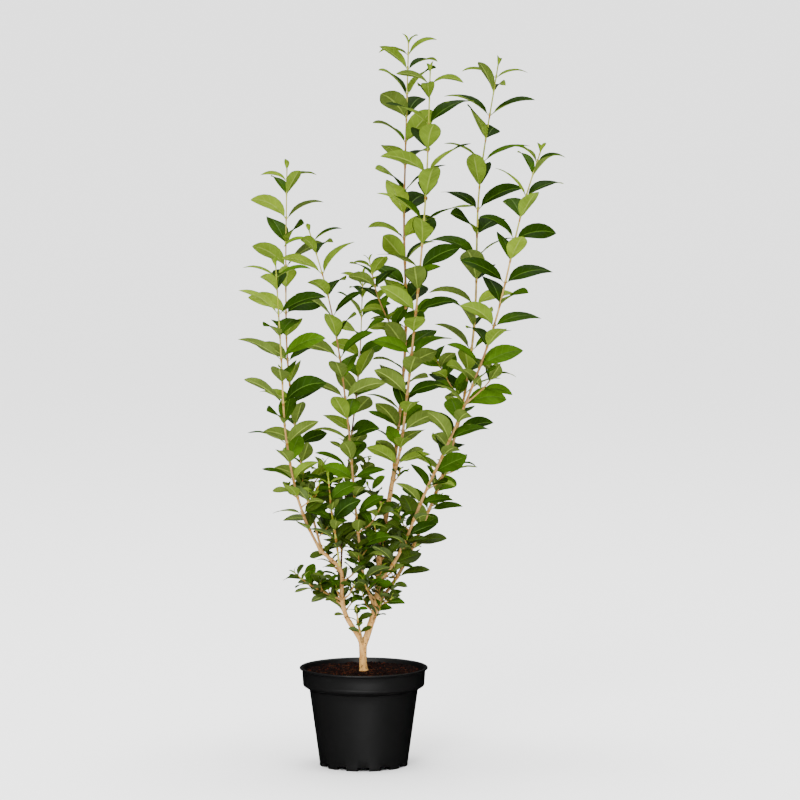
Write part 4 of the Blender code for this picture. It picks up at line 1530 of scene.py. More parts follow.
@dataclass(frozen=True)
class BladeShape:
    """The fine shape of a leaf: outline, fold, midrib and wavy edge, as shares and degrees."""

    box: tuple[Vector, Vector]
    small: float = 24.0
    round_below: Span = (44.0, 24.0)
    round_width: float = 0.08
    tip_from: float = 0.8
    tip_thinning: float = 0.6
    droop_from: float = 0.78
    waves: float = 2.2
    tender_from: Span = (0.86, 0.96)
    blade_start: float = 14.0
    lean_start: float = 5.0
    outline_skew: float = 0.92
    outline_power: Span = (0.8, 0.64)
    stalk_taper: float = 0.9
    stalk_thickness: float = 1.6
    ridge_taper: float = 0.7
    wave_spread: Span = (0.2, 1.0)
    shrinking: Shares = (1.0, 0.97, 0.94, 0.91, 0.88, 0.85)
    width: Span = (0.52, 0.46)
    width_spread: Span = (0.93, 1.08)
    stalk_share: float = 0.06
    stalk_radius: float = 0.55
    thickness: float = 0.0105
    groove: float = 0.14
    ridge: float = 0.42
    fold: Span = (22.0, 9.0)
    fold_spread: float = 8.0
    young_fold: float = 14.0
    reach: float = 1.07
    recurve: float = 0.12
    wave: float = 0.022
    sway: float = 0.035
    tip_droop: float = 0.03
    lean: Span = (28.0, 54.0)
    calm_top: float = 0.3
    calm_tip: float = 0.35
    young_width: float = 0.66
    right_show: float = 0.28

    def half_width(self, share: float, roundness: float) -> float:
        """The outline's half width as a share of its widest, at a share of the blade's length."""
        along = clamp((share - self.stalk_share) / (1.0 - self.stalk_share))
        power = blend(self.outline_power, roundness)
        return max(0.0, math.sin(math.pi * along ** self.outline_skew)) ** power

    def lean_of(self, leaf: Leaf, show: float, dice: Dice) -> float:
        """How far a blade turns about its own line right from its stalk.

        Args:
            leaf: The leaf of the rule.
            show: The chance that it turns its upper side to the front.
            dice: Draws the side and how far.

        Returns:
            The turn in radians.
        """
        side = leaf.frame(0.0)[2]
        chance = show + self.right_show * leaf.heading.x
        towards = math.copysign(1.0, -side.y if dice.random() < chance else side.y)
        calm = 1.0 - self.calm_top * leaf.young - self.calm_tip * self.tender(leaf)
        return towards * abs(side.y) * calm * math.radians(dice.uniform(*self.lean))

    def tender(self, leaf: Leaf) -> float:
        """How young a leaf is: 0 up to the last few pairs of its shoot, 1 at the tip."""
        start, end = self.tender_from
        return clamp((leaf.young - start) / (end - start))

    def kept_inside(self, points: list[Vector], root: Vector) -> list[Vector]:
        """Draw a leaf in towards its root until it keeps to the part's own box.

        Args:
            points: The leaf's points.
            root: Its root.

        Returns:
            The points where they then are.
        """
        low, high = self.box
        for share in self.shrinking:
            drawn = [root.lerp(point, share) for point in points]
            if all(low[i] <= point[i] <= high[i] for point in drawn for i in range(3)):
                break
        return drawn

    def build(self, leaf: Leaf, heap: Heap, tints: Tints, show: float, dice: Dice) -> None:
        """Add one fine leaf to a heap.

        Args:
            leaf: The leaf of the rule.
            heap: Where its mesh goes.
            tints: The finishes of the upper side, underside, upper rib and lower rib.
            show: The chance that it turns its upper side to the front.
            dice: Draws its small differences.
        """
        weave = SMALL_WEAVE if leaf.length < self.small * MM else LARGE_WEAVE
        longest, shortest = self.round_below
        roundness = clamp((longest - leaf.length / MM) / (longest - shortest))
        fold_extra = dice.uniform(-self.fold_spread, self.fold_spread)
        fold_extra += self.young_fold * self.tender(leaf)
        phase = dice.uniform(0.0, 1.0)
        wave = self.wave * dice.uniform(*self.wave_spread)
        sway = self.sway * dice.uniform(-1.0, 1.0)
        lean = self.lean_of(leaf, show, dice)
        wide = leaf.length * blend(self.width, leaf.young) * dice.uniform(*self.width_spread) / 2
        wide *= (1.0 + self.round_width * roundness) * blend((1.0, self.young_width), self.tender(leaf))
        rings = []
        places = []
        for share in weave.stations:
            point, direction, _, level = leaf.frame(share * self.reach)
            normal = Matrix.Rotation(lean * min(1.0, share * self.lean_start), 3, direction) @ level
            side = direction.cross(normal)
            stalk = self.stalk_radius * MM
            half = max(wide * self.half_width(share, roundness), stalk * (1.0 - self.stalk_taper * share))
            blade = clamp((share - self.stalk_share) * self.blade_start)
            fold = math.radians(blend(self.fold, share) + fold_extra) * blade
            ripple = wave * math.sin(2 * math.pi * (self.waves * share + phase)) * blade
            thick = blend((stalk * self.stalk_thickness, leaf.length * self.thickness), blade)
            thick *= 1.0 - self.tip_thinning * clamp((share - self.tip_from) / (1.0 - self.tip_from))
            drop = self.tip_droop * clamp((share - self.droop_from) / (1.0 - self.droop_from))
            offset = side * (sway * math.sin(math.pi * share)) - normal * drop
            centre = point + offset * leaf.length
            section = []
            for across in (weave.upper, weave.under):
                for t in across:
                    height = half * (abs(t) * math.sin(fold) - self.recurve * t * t + ripple * t * abs(t))
                    if across is weave.under:
                        height -= thick
                        height -= self.ridge * MM * (1.0 - self.ridge_taper * share) * blade * (t == 0.0)
                    elif t == 0.0:
                        height -= self.groove * MM * blade
                    section.append(centre + side * (half * t * math.cos(fold)) + normal * height)
                    places.append((0.5 + t / 2, share))
            rings.append(section)
        points, faces = loft(rings)
        points = self.kept_inside(points, leaf.root)
        finishes = [tints[3]]
        for share in weave.stations[1:]:
            on_stalk = share <= self.stalk_share
            finishes.extend([tints[3]] * len(rings[0]) if on_stalk else weave.finishes(tints))
        finishes.append(tints[0])
        heap.add(points, faces, finishes, places)


@dataclass(frozen=True)
class ShootShape:
    """The fine shape of a shoot: swollen nodes, a flared foot and a bud in every axil, in mm."""

    step: float = 3.2
    sides: int = 9
    node_swell: float = 0.3
    node_length: float = 2.4
    foot_flare: float = 0.45
    foot_length: float = 5.0
    foot_sink: float = 3.0
    unevenness: float = 0.05
    grain: float = 260.0
    zones: float = 5.4
    node_ochre: float = 2.0
    node_top: float = 0.93
    bud_sink: float = 0.7
    bud_lift: float = 1.5
    bud_lean: float = 0.55
    bud_sides: int = 5
    bud_length: Span = (1.8, 3.4)
    bud_radius: float = 0.75
    tip_bud: Span = (1.1, 3.4)
    bud_outline: Pairs = ((0.0, 0.8), (0.35, 1.0), (0.7, 0.6), (1.0, 0.08))

    def build(self, shoot: Shoot, heap: Heap, tone: Tone) -> None:
        """Add one shoot's bark to a heap.

        Args:
            shoot: The shoot of the rule.
            heap: Where its mesh goes.
            tone: Its colours from the tip down.
        """
        stem = shoot.stem
        rings = []
        finishes = [SHOOT_NUMBERS[tone.value[-1]]]
        count = max(4, round(stem.length / (self.step * MM)))
        distances = [stem.length * i / count for i in range(count + 1)]
        centres = [stem.smooth_at(d) for d in distances]
        foot_tangent = (centres[1] - centres[0]).normalized()
        sunk = min(self.foot_sink, stem.foot_radius / MM * 1.6) * MM
        centres.insert(0, centres[0] - foot_tangent * sunk)
        distances.insert(0, 0.0)
        across = side_axis(foot_tangent)
        for i, (centre, distance) in enumerate(zip(centres, distances)):
            tangent = (centres[min(i + 1, len(centres) - 1)] - centres[max(i - 1, 0)]).normalized()
            across = squared(across, tangent)
            radius = stem.radius(distance)
            nearest = min((abs(distance - node) for node in shoot.nodes), default=1.0)
            swell = self.node_swell * math.exp(-((nearest / (self.node_length * MM)) ** 2))
            swell += self.foot_flare * math.exp(-distance / (self.foot_length * MM))
            swell += self.unevenness * noise.noise(centre * self.grain)
            rings.append(ring(centre, tangent, radius * (1.0 + swell), self.sides, across))
            height = distance / stem.length
            zone = tone.value[min(3, int((1.0 - height) * self.zones))]
            if nearest < self.node_ochre * MM and height < self.node_top:
                zone = "node_ochre"
            finishes.extend([SHOOT_NUMBERS[zone]] * (self.sides if i else 0))
        heap.add(*loft(rings), [*finishes, BUD])
        wide, long = self.tip_bud
        self.bud(stem.smooth_at(stem.length), stem.tangents[-1], stem.tip_radius * wide, long * MM, heap)

    def axil_bud(self, shoot: Shoot, distance: float, heading: Vector, heap: Heap, dice: Dice) -> None:
        """Add the bud that stands between a leaf and its stem.

        Args:
            shoot: The shoot.
            distance: How far up it the leaf stands.
            heading: The way the leaf heads.
            heap: Where the bud's mesh goes.
            dice: Draws its length.
        """
        stem = shoot.stem
        centre = stem.smooth_at(distance)
        tangent = stem.at(distance)[1]
        sink = stem.radius(distance) * self.bud_sink
        foot = centre + heading * sink + tangent * self.bud_lift * MM
        direction = (heading * self.bud_lean + tangent).normalized()
        size = min(self.bud_radius * MM, sink)
        self.bud(foot, direction, size, dice.uniform(*self.bud_length) * MM, heap)

    def bud(self, foot: Vector, direction: Vector, radius: float, length: float, heap: Heap) -> None:
        """Add one pointed bud.

        Args:
            foot: The middle of its foot.
            direction: The way that it points.
            radius: Its widest radius.
            length: Its length.
            heap: Where its mesh goes.
        """
        across = side_axis(direction)
        rings = [ring(foot + direction * length * along, direction, radius * wide, self.bud_sides, across)
                 for along, wide in self.bud_outline]
        heap.add_loft(rings, BUD)


class Foliage:
    """Every mass of leaves, by the source's rule carried on to finer twigs."""

    def __init__(self) -> None:
        """Grow all the masses."""
        fork = Stem(*FORK, LIMB_STEP, LIMB_SIDES)
        self.limbs = {"trunk": fork}
        standing = [tree_of([fork.skin()])]
        for limb in LIMBS:
            stem = Stem(limb.path, limb.radius, LIMB_STEP, LIMB_SIDES)
            self.limbs[limb.name] = stem
            standing.append(tree_of([stem.skin()]))
        self.growths = [Growth(mass, self.limbs[mass.carrier]) for mass in MASSES]
        self.add_sprays()
        for growth in self.growths:
            growth.add_twigs(standing + self.others(growth))
        for growth in self.growths:
            growth.add_leaves(standing + self.others(growth))
        finer = FinerRule()
        twigs = sum(finer.grow(growth, standing + self.others(growth)) for growth in self.growths)
        crowd = standing + [growth.tree() for growth in self.growths]
        for limb in LIMBS:
            self.growths += finer.climb(limb.name, self.limbs[limb.name], crowd)
        leaves = sum(len(growth.leaves) for growth in self.growths)
        log.info("%d masses, %d leaves, %d finer twigs", len(self.growths), leaves, twigs)

    def others(self, growth: Growth) -> Trees:
        """Search trees over every mass but one."""
        return [other.tree() for other in self.growths if other is not growth]

    def add_sprays(self) -> None:
        """Short masses up the boughs, each turned on until its stem stands clear."""
        rule = TWIG_RULE
        for limb_name, count, first_turn, length in rule.sprays:
            limb = self.limbs[limb_name]
            for index in range(count):
                point = limb.at(limb.length * blend(rule.spray_zone, index / count))[0]
                reach = length * (1.0 - rule.spray_shortening * (index % 2))
                for extra in rule.spray_turns:
                    turn = math.radians(first_turn + rule.golden_turn * index + extra)
                    heading = compass(turn)
                    mass = Mass(f"spray_{limb_name}_{index + 1}", limb_name, Start.SIDE,
                                bent_path(point / MM, heading, reach, rule.spray_bend), rule.spray_radius,
                                rule.spray_internode, rule.spray_leaf, math.degrees(turn), rule.spray_bare)
                    growth = Growth(mass, limb)
                    swollen = growth.main.skin(rule.spray_clearance * MM)
                    if not touches(swollen, (other.tree() for other in self.growths)):
                        self.growths.append(growth)
                        break

    def tints_of(self, leaf: Leaf, dice: Dice) -> Tints:
        """Deal a leaf its finishes by its height in the crown and its age.

        Args:
            leaf: The leaf.
            dice: Draws among the tints that suit it.

        Returns:
            The numbers of the upper, under, upper rib and lower rib finishes.
        """
        draw = dice.random()
        if leaf.young > YOUNG_FROM and leaf.length < YOUNG_LENGTH * MM:
            dealt = ["upper_young", "under_young"]
        else:
            sides = next(sides for top, *sides in DEALS if leaf.root.z < top)
            dealt = [next(name for limit, name in side if draw < limit) for side in sides]
        return tuple(BLADE_NUMBERS[name] for name in (*dealt, "rib_upper", "rib_under"))

    def build(self, box: tuple[Vector, Vector]) -> list[Object]:
        """Make the leaves and the shoots of each side of the crown as one piece each.

        Args:
            box: The lowest and highest corner that leaves keep within.

        Returns:
            The pieces.
        """
        blade_materials = [finish.dress() for finish in BLADE_TINTS]
        shoot_materials = [finish.dress() for finish in SHOOT_TINTS]
        blade_shape = BladeShape(box)
        shoot_shape = ShootShape()
        pieces = []
        for side in Side:
            blades = Heap()
            shoots = Heap()
            members = [growth for growth in self.growths if growth.mass.side is side]
            for growth in members:
                dice = random.Random(f"{growth.mass.name} looks")
                for leaf in growth.leaves:
                    tints = self.tints_of(leaf, dice)
                    blade_shape.build(leaf, blades, tints, growth.mass.show, dice)
                for shoot in growth.shoots:
                    shoot_shape.build(shoot, shoots, growth.mass.tone)
                for shoot, distance, heading in growth.axils:
                    shoot_shape.axil_bud(shoot, distance, heading, shoots, dice)
            nodes = [growth.mass.name for growth in members if growth.mass.solid]
            leaves_piece = blades.to_object(f"leaves_{side.value}", blade_materials, BLADE_CREASE)
            shoots_piece = shoots.to_object(f"shoots_{side.value}", shoot_materials, SHOOT_CREASE)
            for piece, slot in ((leaves_piece, "foliage"), (shoots_piece, "bark")):
                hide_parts(*nodes)
                pieces.append(piece)
        return pieces


# Work in edit mode


def deselect_all() -> None:
    """Leave nothing selected, so that an operator acts on new work alone."""
    for item in list(bpy.context.selected_objects):
        item.select_set(False)


def apply_modifier(kind: str, **settings: Any) -> None:
    """Add a modifier to the active object, set it up and apply it.

    Args:
        kind: The modifier's type.
        **settings: Its settings.
    """
    bpy.ops.object.modifier_add(type=kind)
    modifier = bpy.context.object.modifiers[-1]
    for key, value in settings.items():
        setattr(modifier, key, value)
    bpy.ops.object.modifier_apply(modifier=modifier.name)


class Turned:
    """A turned shape that grows ring by ring from a disc, by extruding and scaling its rim."""

    def __init__(self, name: str, radius: float, height: float, segments: int, filled: bool = True) -> None:
        """Start with a disc.

        Args:
            name: The object's name.
            radius: The disc's radius, in mm.
            height: Its height, in mm.
            segments: How many points its rim has.
            filled: Whether the disc has a face.
        """
        deselect_all()
        bpy.ops.mesh.primitive_circle_add(
            vertices=segments, radius=radius * MM, location=(0.0, 0.0, height * MM),
            fill_type="NGON" if filled else "NOTHING")
        bpy.ops.object.transform_apply(location=True, rotation=True, scale=True)
        self.object = bpy.context.object
        self.object.name = name
        self.object.data.name = name
        self.radius = radius
        self.height = height
        bpy.ops.object.mode_set(mode="EDIT")
        bpy.ops.mesh.select_mode(type="EDGE")
        bpy.ops.mesh.select_all(action="SELECT")
        if filled:
            bpy.ops.mesh.region_to_loop()

    def step(self, radius: float, height: float) -> None:
        """Extrude the rim.

        Args:
            radius: Its new radius, in mm.
            height: Its new height, in mm.
        """
        rise = (height - self.height) * MM
        bpy.ops.mesh.extrude_edges_move(TRANSFORM_OT_translate={"value": (0.0, 0.0, rise)})
        scale = radius / self.radius
        bpy.ops.transform.resize(value=(scale, scale, 1.0), center_override=(0.0, 0.0, height * MM))
        self.radius = radius
        self.height = height

    def close(self) -> Object:
        """Fill the last rim, turn the faces outwards, select none and leave edit mode.

        Returns:
            The finished shape.
        """
        bpy.ops.mesh.edge_face_add()
        bpy.ops.mesh.select_all(action="SELECT")
        bpy.ops.mesh.normals_make_consistent(inside=False)
        bpy.ops.mesh.select_mode(type="FACE")
        bpy.ops.mesh.select_all(action="DESELECT")
        bpy.ops.object.mode_set(mode="OBJECT")
        return self.object


# Pot


def offsets(steps: Pairs, radius: float, height: float) -> Outline:
    """Points of an outline by how far each is from a radius and a height."""
    return [(radius + out, height + up) for out, up in steps]


@dataclass
class Pot:
    """The black nursery pot. Its height and lip come from the frame, the rest is in mm."""

    collar_radius: float = 83.0
    collar_taper: float = 1.4
    collar_drop: float = 23.0
    lip_depth: float = 3.4
    shoulder_depth: float = 6.4
    body_top_radius: float = 73.0
    body_foot_radius: float = 59.5
    wall: float = 2.3
    floor_thickness: float = 2.6
    foot_height: float = 5.0
    foot_ring_width: float = 7.5
    foot_count: int = 12
    pad_radius: float = 30.0
    pad_taper: float = 1.5
    segments: int = 144
    lip_flat: float = 0.6
    lip_turns: Span = (-70.0, 90.0)
    lip_steps: int = 7
    body_steps: int = 8
    shoulder: Pairs = ((0.7, 0.25), (2.2, 0.8), (2.9, 1.3))
    collar_foot: Pairs = ((-1.1, -2.2), (-0.35, -1.2), (0.0, 0.0))
    groove_height: float = 2.6
    groove: Pairs = ((0.1, -0.5), (-0.25, 0.0), (0.15, 0.5))
    collar_top: Pairs = ((-0.3, -0.8), (0.2, 0.0))
    mouth: Pairs = ((1.7, -0.25), (0.4, -1.4))
    edge: float = 0.35
    edge_angle: float = 40.0
    crease: float = 32.0

    def __post_init__(self) -> None:
        """Read the pot's height and lip from the frame."""
        low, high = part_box("pot")
        self.height = high.z / MM
        self.lip_radius = (high.x - low.x) / 2 / MM

    def lip(self) -> Outline:
        """Outline the rolled lip.

        Returns:
            Radius and height in mm, from its lower edge over the top.
        """
        roll = (self.lip_depth - self.lip_flat) / 2
        shares = [i / self.lip_steps for i in range(self.lip_steps + 1)]
        turns = [math.radians(blend(self.lip_turns, share)) for share in shares]
        return [(self.lip_radius - roll + roll * math.cos(turn), self.height - roll + roll * math.sin(turn))
                for turn in turns]

    def outside(self) -> Outline:
        """Outline the pot's outside.

        Returns:
            Radius and height in mm, from the pad to the top of the lip.
        """
        collar_foot = self.height - self.collar_drop
        body_top = collar_foot - self.shoulder_depth
        foot = self.body_foot_radius
        outline = [(radius, self.foot_height) for radius in (
            self.pad_radius + self.pad_taper, foot - self.foot_ring_width, foot)]
        for i in range(self.body_steps):
            share = (i + 1) / self.body_steps
            outline.append((blend((foot, self.body_top_radius), share),
                            blend((self.foot_height, body_top), share)))
        low = self.collar_radius - self.collar_taper
        groove = collar_foot + self.groove_height
        top = self.height - self.lip_depth
        outline += offsets(self.shoulder, self.body_top_radius, body_top)
        outline += offsets(self.collar_foot, low, collar_foot)
        outline += offsets(self.groove, low, groove)
        outline.append((blend((low, self.collar_radius), 0.5), blend((groove, top), 0.5)))
        outline += offsets(self.collar_top, self.collar_radius, top)
        return outline + self.lip()

    def inside(self) -> Outline:
        """Outline the pot's inside.

        Returns:
            Radius and height in mm, from the mouth down to the floor.
        """
        collar_foot = self.height - self.collar_drop
        wall = self.collar_radius - self.wall
        return [
            *offsets(self.mouth, wall, self.height),
            (wall, self.height - self.lip_depth + 0.2),
            (wall - self.collar_taper - 0.3, collar_foot - 1.0),
            (self.body_top_radius - self.wall, collar_foot - self.shoulder_depth + 1.4),
            (self.body_foot_radius - self.wall, self.foot_height + self.floor_thickness),
        ]

    def is_foot(self, centre: Vector, normal: Vector) -> bool:
        """Whether a face of the raised base belongs to a foot.

        Args:
            centre: The face's middle.
            normal: The way that it faces.

        Returns:
            The answer.
        """
        radius = math.hypot(centre.x, centre.y) / MM
        inner = self.body_foot_radius - self.foot_ring_width
        on_ring = inner < radius < self.body_foot_radius and normal.z < -0.9
        sector = 360.0 / self.foot_count
        turn = math.degrees(math.atan2(centre.y, centre.x)) + 90.0 + sector / 4
        return on_ring and turn % sector > sector / 2

    def build(self) -> Object:
        """Turn the pot, push its feet down and soften its edges.

        Returns:
            The pot.
        """
        turned = Turned("nursery_pot", self.pad_radius, 0.0, self.segments)
        for radius, height in self.outside() + self.inside():
            turned.step(radius, height)
        pot = turned.close()
        for polygon in pot.data.polygons:
            polygon.select = self.is_foot(polygon.center, polygon.normal)
        bpy.ops.object.mode_set(mode="EDIT")
        down = (0.0, 0.0, -self.foot_height * MM)
        bpy.ops.mesh.extrude_region_move(TRANSFORM_OT_translate={"value": down})
        bpy.ops.object.mode_set(mode="OBJECT")
        apply_modifier("BEVEL", width=self.edge * MM, segments=2, limit_method="ANGLE",
                       angle_limit=math.radians(self.edge_angle))
        bpy.ops.object.shade_smooth_by_angle(angle=math.radians(self.crease))
        pot.data.materials.append(PlasticFinish().dress())
        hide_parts("pot")
        return pot


# Compost


@dataclass
class Compost:
    """The compost: an uneven bed with clods, crumbs and fibres on it, in mm."""

    clearance: float = 0.45
    segments: int = 128
    ring_step: float = 1.9
    clod: float = 1.5
    grain: float = 0.7
    crumbs: int = 3400
    crumb_size: Span = (0.4, 2.1)
    fibres: int = 260
    fibre_length: Span = (4.0, 13.0)
    pad_radius: float = 8.5
    sinking: float = 0.9
    clods: float = 90.0
    grains: float = 420.0
    settling: Span = (4.5, 6.0)
    edge_from: float = 0.93
    edge_drop: float = 1.6
    crumb_power: float = 3.2
    crumb_sink: float = 0.25
    crumb_sides: int = 5
    crumb_outline: Pairs = ((-0.7, 0.45), (-0.1, 1.0), (0.6, 0.6))
    crumb_flatness: float = 0.75
    crumb_lean: float = 0.5
    crumb_spread: Span = (0.72, 1.2)
    crumb_deals: Span = (0.62, 0.92)
    fibre_stations: Shares = (-0.5, -0.2, 0.1, 0.5)
    fibre_bow: float = 0.2
    fibre_lift: Span = (0.4, 1.2)
    fibre_radius: Span = (0.14, 0.3)
    fibre_straw: float = 0.4

    def __post_init__(self) -> None:
        """Read the compost's height from the frame."""
        low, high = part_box("soil")
        self.foot = low.z / MM
        self.level = high.z / MM - self.sinking
        self.pot = Pot()
        self.rim = self.pot.collar_radius - self.pot.wall - self.clearance

    def height_at(self, x: float, y: float) -> float:
        """The bed's height at a place, in metres.

        Args:
            x: The place to the right.
            y: The place to the back.

        Returns:
            The height.
        """
        far = math.hypot(x, y) / MM
        rough = noise.noise(Vector((x * self.clods, y * self.clods, 3.0))) * self.clod
        rough += noise.noise(Vector((x * self.grains, y * self.grains, 9.0))) * self.grain
        start, width = self.settling
        settle = clamp((far - start) / width)
        edge = self.edge_drop * max(0.0, far / self.rim - self.edge_from) / (1.0 - self.edge_from)
        return (self.level + (rough - 0.5) * settle - edge) * MM

    def bed(self) -> Object:
        """Turn the plug of compost and roughen its top.

        Returns:
            The bed.
        """
        gap = self.clearance
        wall = [(radius - gap, height + gap) for radius, height in self.pot.inside()[2:]]
        turned = Turned("compost_bed", wall[-1][0], self.foot, self.segments)
        for radius, height in reversed(wall[:-1]):
            turned.step(radius, min(height, self.level - 2.6))
        turned.step(self.rim - 0.1, self.level - 2.0)
        radius = self.rim
        while radius > 2.0 * self.ring_step:
            radius -= self.ring_step
            turned.step(radius, self.level)
        bed = turned.close()
        for vertex in bed.data.vertices:
            if vertex.co.z > (self.level - 0.1) * MM:
                vertex.co.z = self.height_at(vertex.co.x, vertex.co.y)
        bpy.ops.object.shade_smooth_by_angle(angle=math.radians(60.0))
        bed.data.materials.append(CompostFinish("compost_dark", rgb(26, 11, 8)).dress())
        return bed

    def scatter(self) -> Object:
        """Scatter the crumbs and fibres that lie on the bed.

        Returns:
            All of them as one piece.
        """
        tints = (("crumb_dark", rgb(24, 10, 8)), ("crumb_brown", rgb(42, 18, 12)),
                 ("crumb_red", rgb(84, 36, 20)), ("fibre_straw", rgb(104, 60, 34)))
        materials = [CompostFinish(name, colour).dress() for name, colour in tints]
        dice = random.Random("crumbs")
        heap = Heap()
        for _ in range(self.crumbs):
            size = blend(self.crumb_size, dice.random() ** self.crumb_power)
            far = (self.rim - size - 0.3) * math.sqrt(dice.random())
            if far < self.pad_radius:
                continue
            turn = dice.uniform(0.0, 2 * math.pi)
            centre = compass(turn) * far * MM
            centre.z = self.height_at(centre.x, centre.y) + size * self.crumb_sink * MM
            draw = dice.random()
            tint = sum(draw >= limit for limit in self.crumb_deals)
            self.crumb(heap, centre, size * MM, tint, dice)
        for _ in range(self.fibres):
            self.fibre(heap, dice)
        return heap.to_object("compost_crumbs", materials, 30.0)

    def crumb(self, heap: Heap, centre: Vector, size: float, tint: int, dice: Dice) -> None:
        """Add one angular crumb.

        Args:
            heap: Where its mesh goes.
            centre: Its middle.
            size: About half its width.
            tint: Its finish's number.
            dice: Draws its shape.
        """
        across = compass(dice.uniform(0.0, 6.3))
        reach = self.crumb_lean
        lean = (UP + Vector((dice.uniform(-reach, reach), dice.uniform(-reach, reach), 0.0))).normalized()
        across = squared(across, lean)
        rings = []
        for along, wide in self.crumb_outline:
            middle = centre + lean * along * size * self.crumb_flatness
            circle = ring(middle, lean, size * wide, self.crumb_sides, across)
            rings.append([centre + (p - centre) * dice.uniform(*self.crumb_spread) for p in circle])
        heap.add_loft(rings, tint)

    def fibre(self, heap: Heap, dice: Dice) -> None:
        """Add one thin fibre that lies on the bed.

        Args:
            heap: Where its mesh goes.
            dice: Draws its place and shape.
        """
        length = dice.uniform(*self.fibre_length)
        far = dice.uniform(self.pad_radius + 2.0, self.rim - length / 2 - 2.0)
        place, turn = dice.uniform(0.0, 2 * math.pi), dice.uniform(0.0, math.pi)
        middle = compass(place) * far
        heading = compass(turn)
        bow = heading.cross(UP) * length * dice.uniform(-self.fibre_bow, self.fibre_bow)
        path = []
        for share in self.fibre_stations:
            spot = (middle + heading * length * share + bow * (1.0 - 4 * share * share)) * MM
            spot.z = self.height_at(spot.x, spot.y) + dice.uniform(*self.fibre_lift) * MM
            path.append(spot)
        rings = []
        for i, centre in enumerate(path):
            tangent = (path[min(i + 1, len(path) - 1)] - path[max(i - 1, 0)]).normalized()
            radius = dice.uniform(*self.fibre_radius) * MM
            rings.append(ring(centre, tangent, radius, 4, side_axis(tangent)))
        heap.add_loft(rings, 3 if dice.random() < self.fibre_straw else 1)

    def build(self) -> list[Object]:
        """Make the bed and what lies on it.

        Returns:
            The two pieces.
        """
        pieces = [self.bed(), self.scatter()]
        for piece in pieces:
            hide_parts("soil")
        return pieces


# Trunk and boughs


